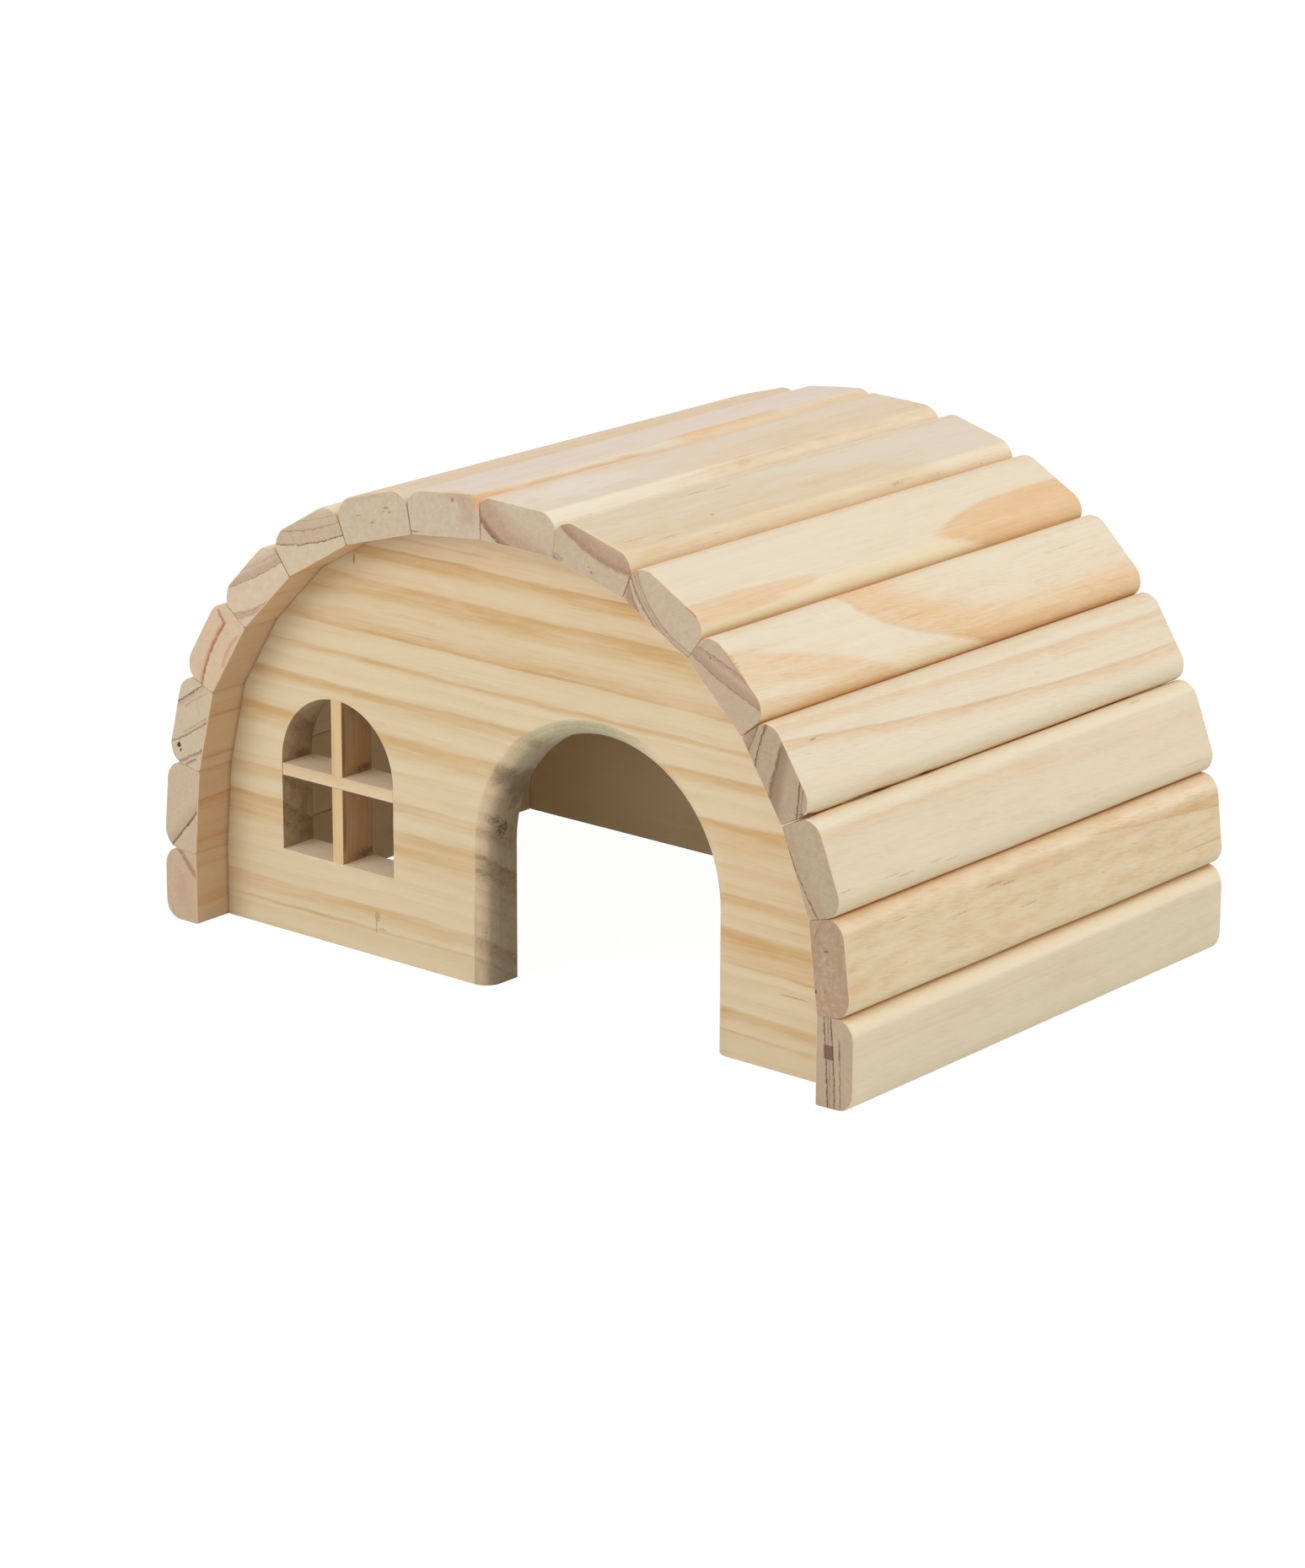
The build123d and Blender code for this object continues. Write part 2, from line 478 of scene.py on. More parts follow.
@dataclass(frozen=True)
class PineFinish:
    """Sanded raw pine with its grain laid out in the board's own axes."""

    name: str
    axes: BoardAxes
    length: float  # of the board along its grain, in millimetres
    timber: Timber
    growth: tuple[GrowthStreak | GrowthTongue, ...] = ()
    flecks: tuple[Fleck, ...] = ()
    seed: float = 0.0
    figure: float = 0.10  # strength of the faint bands between the stated ones
    mottle: float = 0.10  # strength of blotches
    cloud: float = 0.30  # strength of the slow change of tone
    canals: float = 0.30  # strength of the short brown dashes
    fuzz: float = 0.45  # strength of the fine fibre
    strokes: float = 0.25  # strength of the short slanting strokes of the sander
    slant: float = -11.0  # how far the strokes turn from the grain, in degrees
    patchy: float = 0.5  # how unevenly the late wood shows along the board
    sway: float = 0.6  # how far the grain wanders from its straight run, in millimetres
    ripple: float = 0.5  # how far its fibres waver, in millimetres
    roughness: float = 0.56
    relief: float = 0.06 * MM  # height of the fibre's relief

    def material(self) -> bpy.types.Material:
        """Build the material.

        Returns:
            A material whose colour, roughness and fine relief follow the board's grain.
        """
        graph = Graph(bpy.data.materials.new(self.name))
        place = self._place(graph)
        fibre = place.noise((0.20, 14.0, 0.35), 3, 3.0)
        late, line = self._growth(place)
        face = self._face(place, fibre, late, line)
        colour, sawn = self._worked(place, face, late)
        for fleck in self.flecks:
            colour = graph.mix(fleck.mask(place), colour, fleck.colour or self.timber.fleck)

        pores = place.noise((0.25, 1.0, 0.25), 8)
        height = fibre * (1 - sawn) + pores * sawn * 1.6
        bump = graph.node("Bump", {}, {"Strength": 0.5, "Distance": self.relief, "Height": height})
        inputs = {
            "Base Color": colour,
            "Roughness": fibre * 0.18 + sawn * 0.14 + self.roughness,
            "Specular IOR Level": 0.35,
            "Normal": bump,
        }
        graph.finish("OutputMaterial", {"Surface": graph.node("BsdfPrincipled", {}, inputs)})
        return graph.owner

    def _pale(self, place: Place) -> Signal | Colour:
        """Return the colour of the early wood."""
        return self.timber.pale

    def _worked(self, place: Place, face: Signal, late: Signal) -> tuple[Signal, Signal]:
        """Colour what saws, cutters and sanding left on the board.

        Args:
            place: the point on the board.
            face: the colour of the long faces.
            late: how much late wood there is; not used here, only by the finishes that override this.

        Returns:
            The colour of all faces, and 1 where end grain lies open.
        """
        sawn = abs(place.facing[1]).step(0.5, 0.85)
        return place.graph.mix(sawn, face, self.timber.end), sawn

    def _place(self, graph: Graph) -> Place:
        """Return the board's coordinates with the stray of its grain."""
        point = self.axes.place(graph)
        across, along, deep = point.parts()
        travel = along / self.length + 0.5
        sway = graph.noise(point, (16.0, 60.0, 16.0), self.seed + 1, 1.0) * self.sway
        ripple = graph.noise(point, (1.2, 12.0, 2.0), self.seed + 2, 3.0) * self.ripple
        rough = graph.noise(point, (0.4, 1.0, 0.4), self.seed + 13, 2.0)
        blotch = graph.noise(point, (1.8, 7.0, 2.4), self.seed + 6, 2.0)
        facing = self.axes.facing(graph)
        return Place(
            graph, point, across, along, deep, travel, sway + ripple, rough, blotch, facing, self.seed
        )

    def _growth(self, place: Place) -> tuple[Signal, Signal | None]:
        """Return the late wood and the dark lines of all streaks and tongues, with the faint figure."""
        spacing = place.noise((18.0, 60.0, 18.0), 11, 1.0)
        # The faint figure repeats about every 4 mm across and 7 mm deep.
        phase = (place.across + place.warp) * 0.24 + place.deep * 0.15 + (spacing * 1.6 + self.seed * 3.7)
        ramp = phase.fraction()
        late = ramp.step(0.2, 0.9) * ramp.step(1.0, 0.88) * self.figure
        lines = []
        for mark in self.growth:
            band, line = mark.marks(place)
            late = late + band
            if line:
                lines.append(line)
        uneven = place.noise((2.5, 34.0, 5.0), 15) * (2 * self.patchy) + 1.0
        dark = (sum(lines[1:], lines[0]) * uneven * uneven).least(1.0) if lines else None
        return (late * uneven).least(1.0), dark

    def _face(self, place: Place, fibre: Signal, late: Signal, line: Signal | None) -> Signal:
        """Return the colour of the long faces."""
        graph = place.graph
        slanted = (0.0, 0.0, self.slant)
        brush = place.noise((0.8, 30.0, 1.6), 4)
        cloud = place.noise((6.0, 40.0, 8.0), 5, 1.0)
        strokes = place.noise((0.35, 3.6, 1.2), 20, 2.0, slanted)
        amount = late * (brush * 0.5 + place.blotch * 0.5 + fibre * 0.4 + strokes * 0.5 + 1.0)
        face = graph.mix(amount, self._pale(place), self.timber.late)
        tint = cloud * self.cloud + place.blotch * (self.mottle * 2.4) + (fibre + brush * 0.5) * self.fuzz
        face = graph.vary(face, tint + strokes * self.strokes)
        if line:
            face = graph.mix(line * (brush * 1.4 + fibre * 1.6 + 1.0), face, self.timber.line)
        dashes = place.noise((0.24, 5.0, 0.5), 10, 1.0, slanted)
        return graph.mix(dashes.step(0.23, 0.33) * self.canals, face, self.timber.canal)


@dataclass(frozen=True)
class SlatFinish(PineFinish):
    """Pine for a slat: roundings with painted light and shade, eased arrises, glued sides and end grain with
    its rings.
    """

    rings: tuple[RingLine, ...] = ()
    stains: Spot = (0.35, 0.35)  # how brown the left and the right glued sides are
    groove_shade: Spot = (0.5, 0.1)  # how strong the painted shade is on the left and the right rounding next to their joints
    groove_shade_depth: Spot = (8.9, 6.3)  # deep, where the painted shade on the roundings starts and where it is full
    joint_top: float = 6.6  # how deep the glued sides reach, in millimetres
    overhang_start: float = 55.0  # along the slat, where it leaves the wall
    lit_inside_share: float = 0.9  # how much of the paler inside colour, painted light, the inner face takes
    blush: float = 0.35  # strength of the pink and green blotches of the end grain
    end_mottle: float = 0.45  # strength of the small blotches of the end grain

    def _pale(self, place: Place) -> Signal:
        """Return the colour of the early wood, which is another one on the two rounded edges, with painted
        light and painted shade there.
        """
        graph = place.graph
        sideways, _, outward = place.facing
        rightward = sideways.step(-0.01, 0.01)
        # Painted shade: each rounding darkens and warms as it runs down into the groove at its joint.
        groove_shade = rightward.between(*self.groove_shade) * place.deep.step(*self.groove_shade_depth)
        # The roundings' own colours hold painted light and shade as well as the wood's tone.
        rounding = graph.mix(rightward, self.timber.left_rounding, self.timber.right_rounding)
        rounding = graph.mix(groove_shade, rounding, GROOVE_SHADE, Blend.STAIN)
        rounded = abs(sideways).step(0.16, 0.44) * outward.step(-0.15, 0.1)
        return graph.mix(rounded, self.timber.pale, rounding)

    def _worked(self, place: Place, face: Signal, late: Signal) -> tuple[Signal, Signal]:
        """Colour the sides, the inner face with painted light inside the house and painted shade under the
        overhang, the arrises and the ends.
        """
        graph = place.graph
        sideways, endways, outward = place.facing
        toward_side, toward_end = abs(sideways), abs(endways)

        glue = place.noise((3.0, 2.0, 0.6), 16, 3.0)
        glued = (place.deep + glue * 1.4).step(self.joint_top + 0.2, self.joint_top - 0.4)
        stain = sideways.step(-0.01, 0.01).between(*self.stains)
        stained = toward_side.step(0.75, 0.95) * glued * stain * (glue * 1.5 + 1.0)
        colour = graph.mix(stained, face, self.timber.joint)

        from_middle = abs(place.along)
        inward = (-outward).step(0.5, 0.9)
        indoors = from_middle.step(self.overhang_start, self.overhang_start - 0.8)
        # Painted light: the inner face inside the house takes a paler colour.
        colour = graph.mix(inward * indoors * self.lit_inside_share, colour, self.timber.inside)
        # Painted shade: the inner face darkens where it sticks out past the wall, and most of all close to
        # the wall.
        shaded_underside = inward * (1 - indoors)
        seam = from_middle.step(self.overhang_start + 1.4, self.overhang_start)
        colour = graph.mix(shaded_underside, colour, OVERHANG_SHADE, Blend.STAIN)
        colour = graph.mix(shaded_underside * seam * 0.5, colour, CORNER_SHADE, Blend.STAIN)

        eased = toward_end.step(0.06, 0.35)
        colour = graph.mix(eased * place.deep.step(2.0, 4.5) * 0.45, colour, self.timber.arris)
        colour = graph.mix(eased * (-outward).step(0.15, 0.45) * 0.85, colour, self.timber.inner_arris)
        seamed = toward_side.step(0.2, 0.5) * eased * glued * stain * (glue * 2.0 + 1.4)
        colour = graph.mix(seamed, colour, self.timber.seam)
        sawn = toward_end.step(0.84, 0.96)
        return graph.mix(sawn, colour, self._end(place)), sawn

    def _end(self, place: Place) -> Signal:
        """Return the colour of the sawn ends, with their rings."""
        graph = place.graph
        wobble = place.noise((1.3, 30.0, 1.3), 6, 3.0)
        speckle = place.noise((0.30, 30.0, 0.30), 7, 3.0)
        hue = place.noise((4.2, 30.0, 3.2), 9)
        scratch = place.noise((0.16, 30.0, 2.8), 17, 1.0, (0.0, 38.0, 0.0))
        grain = speckle * 0.9 + scratch * 0.4 + wobble * self.end_mottle
        base = graph.vary(self.timber.end, grain)
        base = graph.mix(hue.step(-0.06, 0.3) * self.blush, base, self.timber.end_blush)
        base = graph.mix((-hue).step(-0.06, 0.3) * self.blush * 0.8, base, self.timber.end_sage)
        if not self.rings:
            return base
        stray = wobble * 0.8
        fills, rims = zip(*(ring.marks(place, stray) for ring in self.rings))
        broken = place.noise((0.7, 30.0, 0.7), 18) * 2.2 + 1.0
        filled = reduce(Signal.most, fills) * (speckle * 1.2 + stray + 1.15)
        rimmed = reduce(Signal.most, rims) * broken * (speckle * 1.2 + 1.2)
        base = graph.mix(filled, base, self.timber.end_late)
        return graph.mix(rimmed, base, self.timber.end_line)


@dataclass(frozen=True)
class WallFinish(PineFinish):
    """Pine for an end wall: its openings show the cutter's marks and open end grain."""

    warm_cuts: Spot | None = None  # along the wall, between which its cuts are a warmer brown
    sanded: Spot | None = None  # along the wall, between which the cutter's colour leaves the roundings
    lit_inside_share: float = 0.78  # how much of the paler inside colour, painted light, the inner face takes

    def _worked(self, place: Place, face: Signal, late: Signal) -> tuple[Signal, Signal]:
        """Colour the inner face with painted light, and the roundings and reveals of the openings, with
        painted light on cuts that face up.
        """
        graph = place.graph
        up, sideways, inward = place.facing
        toward_side, toward_face = abs(sideways), abs(inward)
        # Painted light: the inner face takes a paler colour, so that the shaded inside looks lighter.
        face = graph.mix(inward.step(0.5, 0.9) * self.lit_inside_share, face, self.timber.inside)
        machined = toward_face.step(0.999, 0.988)
        if self.sanded:
            start, stop = self.sanded
            machined = machined * place.along.step(stop, start).most(toward_face.step(0.6, 0.3))
        upright = (toward_side / (abs(up) + toward_side + 0.001)).step(0.2, 0.7)
        passes = place.noise((16.0, 16.0, 0.14), 12)
        torn = place.noise((0.55, 0.8, 0.9), 19, 3.0)
        slow = place.noise((5.0, 5.0, 3.0), 14)
        cut = graph.mix(upright, self.timber.cut, self.timber.end)
        cut = graph.vary(cut, passes * 1.1 + torn * 0.8 + slow * 0.7)
        cut = graph.mix(upright * toward_face.step(0.45, 0.85) * 0.5, cut, self.timber.arris)
        cut = graph.mix(late * upright * (torn * 1.5 + 0.9), cut, self.timber.end_late)
        pores = place.rough.step(0.17, 0.24) * slow.step(0.02, 0.18) * upright
        cut = graph.mix(pores * 0.8, cut, self.timber.end_line)
        if self.warm_cuts:
            cut = graph.mix(place.along.within(*self.warm_cuts, 1), cut, WARM_STAIN, Blend.STAIN)
        # Painted light: cuts that face up turn near white.
        lit_sill = graph.vary(self.timber.lit_sill, torn * 0.6 + slow * 0.7)
        cut = graph.mix(up.step(0.5, 0.9), cut, lit_sill)
        return graph.mix(machined, face, cut), machined * upright


@dataclass(frozen=True, kw_only=True)
class BarFinish(PineFinish):
    """Pine for a window bar: its sides take a colour of their own, painted shade on the upright bar and
    painted light on the level one.
    """

    # the sides' colour: painted shade on the upright bar, painted light on the level one
    side: Colour

    def _worked(self, place: Place, face: Signal, late: Signal) -> tuple[Signal, Signal]:
        """Colour the sides of the bar, with their painted light and shade."""
        graph = place.graph
        streaks = place.noise((0.5, 16.0, 0.7), 12, 3.0)
        slow = place.noise((3.0, 9.0, 3.0), 14)
        painted_sides = graph.vary(self.side, streaks * 0.9 + slow * 0.9)
        colour = graph.mix(abs(place.facing[0]).step(0.6, 0.9), face, painted_sides)
        return super()._worked(place, colour, late)


# ------------------------------------------------------------------ slats


@dataclass(frozen=True)
class Section:
    """A slat's cross-section, read from its CAD piece, in its own across and deep axes."""

    outline: np.ndarray  # closed, counter-clockwise, in metres
    origin: np.ndarray  # x and z of the middle of the inner face
    across: np.ndarray  # unit vector in x and z, towards the right foot
    deep: np.ndarray  # unit vector in x and z, out of the arch

    @classmethod
    def of_node(cls, node: bpy.types.Object) -> "Section":
        """Read the section at the front end of a straight piece.

        The end's points are sorted by their angle round their mean, which orders any convex outline.
        The longest edge is the inner face; the section's own axes start at its middle.

        Args:
            node: a CAD piece of one section along Y.

        Returns:
            The section.
        """
        points = np.empty(len(node.data.vertices) * 3)
        node.data.vertices.foreach_get("co", points)
        points = points.reshape(-1, 3)
        front = points[points[:, 1] < points[:, 1].min() + 1e-6][:, [0, 2]]
        front = np.unique(np.round(front, 7), axis=0)
        spread = front - front.mean(axis=0)
        ring = front[np.argsort(np.arctan2(spread[:, 1], spread[:, 0]))]
        edges = np.roll(ring, -1, axis=0) - ring
        longest = int(np.argmax(np.hypot(*edges.T)))
        origin = ring[longest] + edges[longest] / 2
        across = edges[longest] / np.hypot(*edges[longest])
        deep = np.array([-across[1], across[0]])
        if np.dot(ring.mean(axis=0) - origin, deep) < 0:
            across, deep = -across, -deep
        local = (ring - origin) @ np.stack([across, deep], axis=1)
        return cls(local, origin, across, deep)

    def axes(self) -> BoardAxes:
        """Return the board axes that lie on this section."""
        origin, across, deep = (
            (float(pair[0]), 0.0, float(pair[1])) for pair in (self.origin, self.across, self.deep)
        )
        return BoardAxes(origin, across, (0.0, 1.0, 0.0), deep)


@dataclass(frozen=True)
class GlueJoint:
    """The joint between two slats: how far it stands open along its length, in millimetres."""

    along: tuple[float, ...] = (-65.0, 65.0)  # places along the slats
    gap: tuple[float, ...] = (0.01, 0.01)  # the gap at each of them
    mouth: float = 0.03  # how much wider it is at the front end
    mouth_depth: Spot = (-65.0, -62.5)  # along the slats, where the mouth is full and where it ends
    stain: float = 0.35  # how brown its sides are

    def opening(self, along: np.ndarray) -> np.ndarray:
        """Return the gap, in metres, at places along the slats, in metres."""
        mouth = np.interp(along / MM, self.mouth_depth, (self.mouth, 0))
        return (np.interp(along / MM, self.along, self.gap) + mouth) * MM


@dataclass(frozen=True)
class SlatLook:
    """What is one slat's own: its colours, its grain, and how its planer and its saw left it."""

    timber: Timber
    growth: tuple[GrowthStreak | GrowthTongue, ...] = ()
    rings: tuple[RingLine, ...] = ()
    flecks: tuple[Fleck, ...] = ()
    thinner: Spot = (0.0, 0.0)  # millimetres off its outer face at the front and at the back
    shorter: float = 0.0  # millimetres off its back end
    figure: float = 0.10  # this and all that follows are as in SlatFinish
    mottle: float = 0.10
    cloud: float = 0.30
    canals: float = 0.30
    strokes: float = 0.25
    groove_shade: Spot = (0.5, 0.1)
    blush: float = 0.35
    end_mottle: float = 0.45

    def finish_options(self) -> dict[str, object]:
        """Return all of it that a SlatFinish takes under the same name."""
        taken = {field.name for field in fields(SlatFinish)}
        return {field.name: getattr(self, field.name) for field in fields(self) if field.name in taken}


@dataclass
class Slat:
    """One edge-rounded slat of the arch, with its ends eased by sanding."""

    number: int
    look: SlatLook
    left_joint: GlueJoint | None = None  # none at a foot
    right_joint: GlueJoint | None = None
    points_round: int = 168
    corner_ease: float = 0.28 * MM  # more than inner_end_ease, so that no rim crosses itself at a corner
    outer_end_ease: float = 0.45 * MM
    inner_end_ease: float = 0.27 * MM
    glued_end_ease: float = 0.11 * MM
    wear: float = 0.10 * MM
    wear_from: Spot = (1.2 * MM, 5.2 * MM)  # out from the inner face, where wear starts and where it is full
    station_gap: float = 2.0 * MM
    end_steps: int = 6  # stations round each eased end
    cap_rings: int = 5
    cad_gap: float = 0.30 * MM  # between the CAD pieces of two neighbours

    @property
    def node_name(self) -> str:
        """Name of the CAD piece that this slat dresses."""
        return f"slat_{self.number:02d}"

    def build(self) -> bpy.types.Object:
        """Model the slat over its CAD piece and dress it.

        Returns:
            The finished piece.
        """
        section = Section.of_node(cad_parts[self.node_name])
        low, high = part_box(self.node_name)
        grid = self._surface(section, low[1], high[1] - self.look.shorter * MM)
        piece = closed_tube(f"{self.node_name}_dressed", grid, self.cap_rings)
        piece.data.materials.append(self._finish(section, high[1] - low[1]).material())
        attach(piece, BODY)
        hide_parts(self.node_name)
        return piece

    def _finish(self, section: Section, length: float) -> SlatFinish:
        """Return the slat's finish."""
        return SlatFinish(
            name=f"slat pine {self.number:02d}",
            axes=section.axes(),
            length=length / MM,
            seed=float(self.number),
            stains=tuple(joint.stain if joint else 0.0 for joint in (self.left_joint, self.right_joint)),
            **self.look.finish_options(),
        )

    def _surface(self, section: Section, front: float, back: float) -> np.ndarray:
        """Carry the section from front to back.

        The outline is spaced evenly and its corners are eased by a Gaussian blur of its Fourier series.
        At each end it steps inwards along its normals by a quarter circle: the inset is
        ease * (1 - sin a) at a depth of ease * (1 - cos a). Wear lowers the outer side by a sum of
        slow waves, and leaves the inner face, which seats on the walls, as it is. The planer's cut
        lowers the outer side in proportion to how far out it lies, and the glued sides swell by half
        of what the CAD gap is wider than the joint.

        Args:
            section: the slat's cross-section.
            front: y of the front end.
            back: y of the back end.

        Returns:
            Points as an array of stations by points round by three.
        """
        outline = even_outline(section.outline, self.points_round)
        outline, normals = eased_outline(outline, self.corner_ease)
        outerness = np.clip(outline[:, 1] / outline[:, 1].max(), 0, 1)
        ease = self.inner_end_ease + (self.outer_end_ease - self.inner_end_ease) * outerness**2
        for side, joint in ((-1, self.left_joint), (1, self.right_joint)):
            if joint:
                ease += (self.glued_end_ease - ease) * side_share(normals[:, 0] * side)

        angles = np.linspace(0, math.pi / 2, self.end_steps)
        depth = 1 - np.cos(angles)
        inset = 1 - np.sin(angles)
        middle_count = int((back - front) / self.station_gap)
        reach = self.outer_end_ease
        middle = np.linspace(front + reach, back - reach, middle_count)[1:-1]
        flat = np.repeat(middle[:, None], self.points_round, axis=1)
        ends = depth[:, None] * ease
        stations = np.concatenate([front + ends, flat, (back - ends)[::-1]])
        insets = np.concatenate([inset[:, None] * ease, 0 * flat, (inset[:, None] * ease)[::-1]])

        travel = (stations - front) / (back - front)
        lowered = self._worn(travel[:, 0]) * np.interp(outline[:, 1], self.wear_from, (0, 1))
        local = outline[None] - normals[None] * (lowered + insets)[..., None]
        local[..., 0] += self._swelling(normals, stations)
        planed = np.interp(travel, (0, 1), self.look.thinner) * MM
        local[..., 1] -= planed * outerness
        places = section.origin + local[..., :1] * section.across + local[..., 1:] * section.deep
        return np.stack([places[..., 0], stations, np.maximum(places[..., 1], 0)], axis=-1)

    def _worn(self, travel: np.ndarray) -> np.ndarray:
        """Return how far wear lowers each point: a sum of nine slow waves, scaled to the wear."""
        waves = np.random.default_rng(100 + self.number)
        turn = np.linspace(0, 2 * math.pi, self.points_round, endpoint=False)
        lowered = np.zeros((len(travel), self.points_round))
        for _ in range(9):
            around, lengthwise = waves.integers(1, 6), waves.uniform(0.5, 7.0)
            phase, drift = waves.uniform(0, 2 * math.pi, 2)
            lowered += np.outer(np.cos(lengthwise * math.pi * travel + drift), np.cos(around * turn + phase))
        return (lowered - lowered.min()) / np.ptp(lowered) * self.wear

    def _swelling(self, normals: np.ndarray, stations: np.ndarray) -> np.ndarray:
        """Return how far each point moves across to close or open the joints at the slat's two sides.

        Args:
            normals: outward normals of the section's points.
            stations: y of every point.

        Returns:
            The move across of every point, in metres.
        """
        moved = np.zeros(stations.shape)
        for side, joint in ((-1, self.left_joint), (1, self.right_joint)):
            if joint:
                share = side_share(normals[:, 0] * side)
                moved += side * share * (self.cad_gap - joint.opening(stations)) / 2
        return moved


def side_share(facing: np.ndarray) -> np.ndarray:
    """Return a smooth rise from 0 to 1 as the normal's part across rises from 0.57 to 0.97."""
    share = np.clip((facing - 0.57) / 0.40, 0, 1)
    return share * share * (3 - 2 * share)


def even_outline(outline: np.ndarray, count: int) -> np.ndarray:
    """Space points evenly along a closed outline by interpolating on its arc length.

    Args:
        outline: corner points of the closed outline.
        count: how many points to return.

    Returns:
        The evenly spaced points.
    """
    closed = np.vstack([outline, outline[:1]])
    length = np.concatenate([[0], np.cumsum(np.hypot(*np.diff(closed, axis=0).T))])
    wanted = np.linspace(0, length[-1], count, endpoint=False)
    return np.stack([np.interp(wanted, length, closed[:, axis]) for axis in (0, 1)], axis=1)


def eased_outline(outline: np.ndarray, ease: float) -> tuple[np.ndarray, np.ndarray]:
    """Blur a closed outline by a Gaussian of the given width, and find its outward normals.

    Each point is a complex number, so the blur scales its Fourier terms by exp(-(k s)^2 / 2) and the
    tangent is the series' derivative; the outward normal is the tangent turned by minus 90 degrees.

    Args:
        outline: evenly spaced points, counter-clockwise.
        ease: standard deviation of the blur, in metres.

    Returns:
        The eased points and their outward unit normals.
    """
    count = len(outline)
    spacing = np.hypot(*(outline[1] - outline[0]))
    wave = np.fft.fftfreq(count, 1 / count)
    series = np.fft.fft(outline[:, 0] + 1j * outline[:, 1])
    series = series * np.exp(-0.5 * (2 * math.pi * wave / count * ease / spacing) ** 2)
    eased = np.fft.ifft(series)
    tangent = np.fft.ifft(series * 1j * wave)
    normal = -1j * tangent / np.abs(tangent)
    return np.stack([eased.real, eased.imag], 1), np.stack([normal.real, normal.imag], 1)


def closed_tube(name: str, grid: np.ndarray, cap_rings: int) -> bpy.types.Object:
    """Make a mesh of a tube's grid of points and close both ends with shrinking rings.

    Args:
        name: the piece's name.
        grid: stations, front to back, by points round, counter-clockwise from the front, by three.
        cap_rings: rings between each end's rim and its middle.

    Returns:
        The new piece, at the origin.
    """
    count = grid.shape[1]
    # The outermost ring lies close inside the rim, so that the flat end shades flat.
    shrink = np.concatenate([[0.98], np.linspace(1, 0, cap_rings + 1)[1:-1]])[:, None, None]
    middles = grid[[0, -1]].mean(axis=1)
    front_cap = middles[0] + (grid[0] - middles[0]) * shrink
    back_cap = middles[1] + (grid[-1] - middles[1]) * shrink
    rings = np.concatenate([front_cap[::-1], grid, back_cap])
    rows = np.arange(len(rings) - 1)[:, None] * count
    around = np.arange(count)[None]
    onward = np.roll(around, -1)
    quads = np.stack([rows + around, rows + count + around, rows + count + onward, rows + onward], -1)
    points = np.concatenate([rings.reshape(-1, 3), middles])
    last_ring = (len(rings) - 1) * count
    poles = np.full(count, len(points) - 2)
    front_fan = np.stack([around[0], onward[0], poles], -1)
    back_fan = np.stack([last_ring + onward[0], last_ring + around[0], poles + 1], -1)
    faces = [*quads.reshape(-1, 4).tolist(), *front_fan.tolist(), *back_fan.tolist()]
    mesh = bpy.data.meshes.new(name)
    mesh.from_pydata(points.tolist(), [], faces)
    mesh.shade_smooth()
    mesh.update()
    piece = bpy.data.objects.new(name, mesh)
    bpy.context.scene.collection.objects.link(piece)
    return piece


PINK = srgb(190, 152, 128)  # blush of end grain
TAN = srgb(214, 178, 130)  # soft tan patch on a face
RESIN = srgb(170, 136, 92)  # dash of resin
AMBER = srgb(168, 128, 78)  # darker dash of resin
GAP_SHADE = srgb(104, 66, 38)  # the dark of an open joint
SCORCH = srgb(170, 128, 78)  # small brown marks on the front wall
JAMB_SHADE = srgb(112, 88, 64)  # painted shade: soft dark patches low in the window, on its left side
UMBER = srgb(150, 108, 66)  # brown at the foot of the door's left side
FRONT = -65.0  # where the front ends lie along a slat
FACE = 9.4  # how deep the outer faces lie

SLAT_1 = SlatLook(  # at the left foot
    timber=Timber(srgb(234, 218, 190), srgb(200, 173, 144), end_line=srgb(146, 108, 84)),
    growth=(GrowthStreak(-4.0, wander=3.0, fade=4.0), GrowthStreak(5.0, wander=-2.0, fade=2.5)),
    rings=(RingLine((9.05, 5.95), (3.85, 1.25), fade=1.6, fill=0.25, width=1.4),),
    flecks=(Fleck((-0.5, FRONT, 4.5), (5.0, 1.5, 3.0), 0.5, 1.4, PINK, soft=0.9),),
)

SLAT_2 = SlatLook(
    timber=Timber(srgb(230, 211, 180), srgb(199, 178, 151)),
    growth=(GrowthStreak(-7.0, wander=1.5), GrowthStreak(3.0, wander=4.0, fade=-3.0, edge=0.3)),
    rings=(RingLine((-9.0, 6.8), (-0.7, 0.6), fade=2.8, line=0.7, fill=0.3, width=0.6),),
    thinner=(-0.15, 0.0),
)

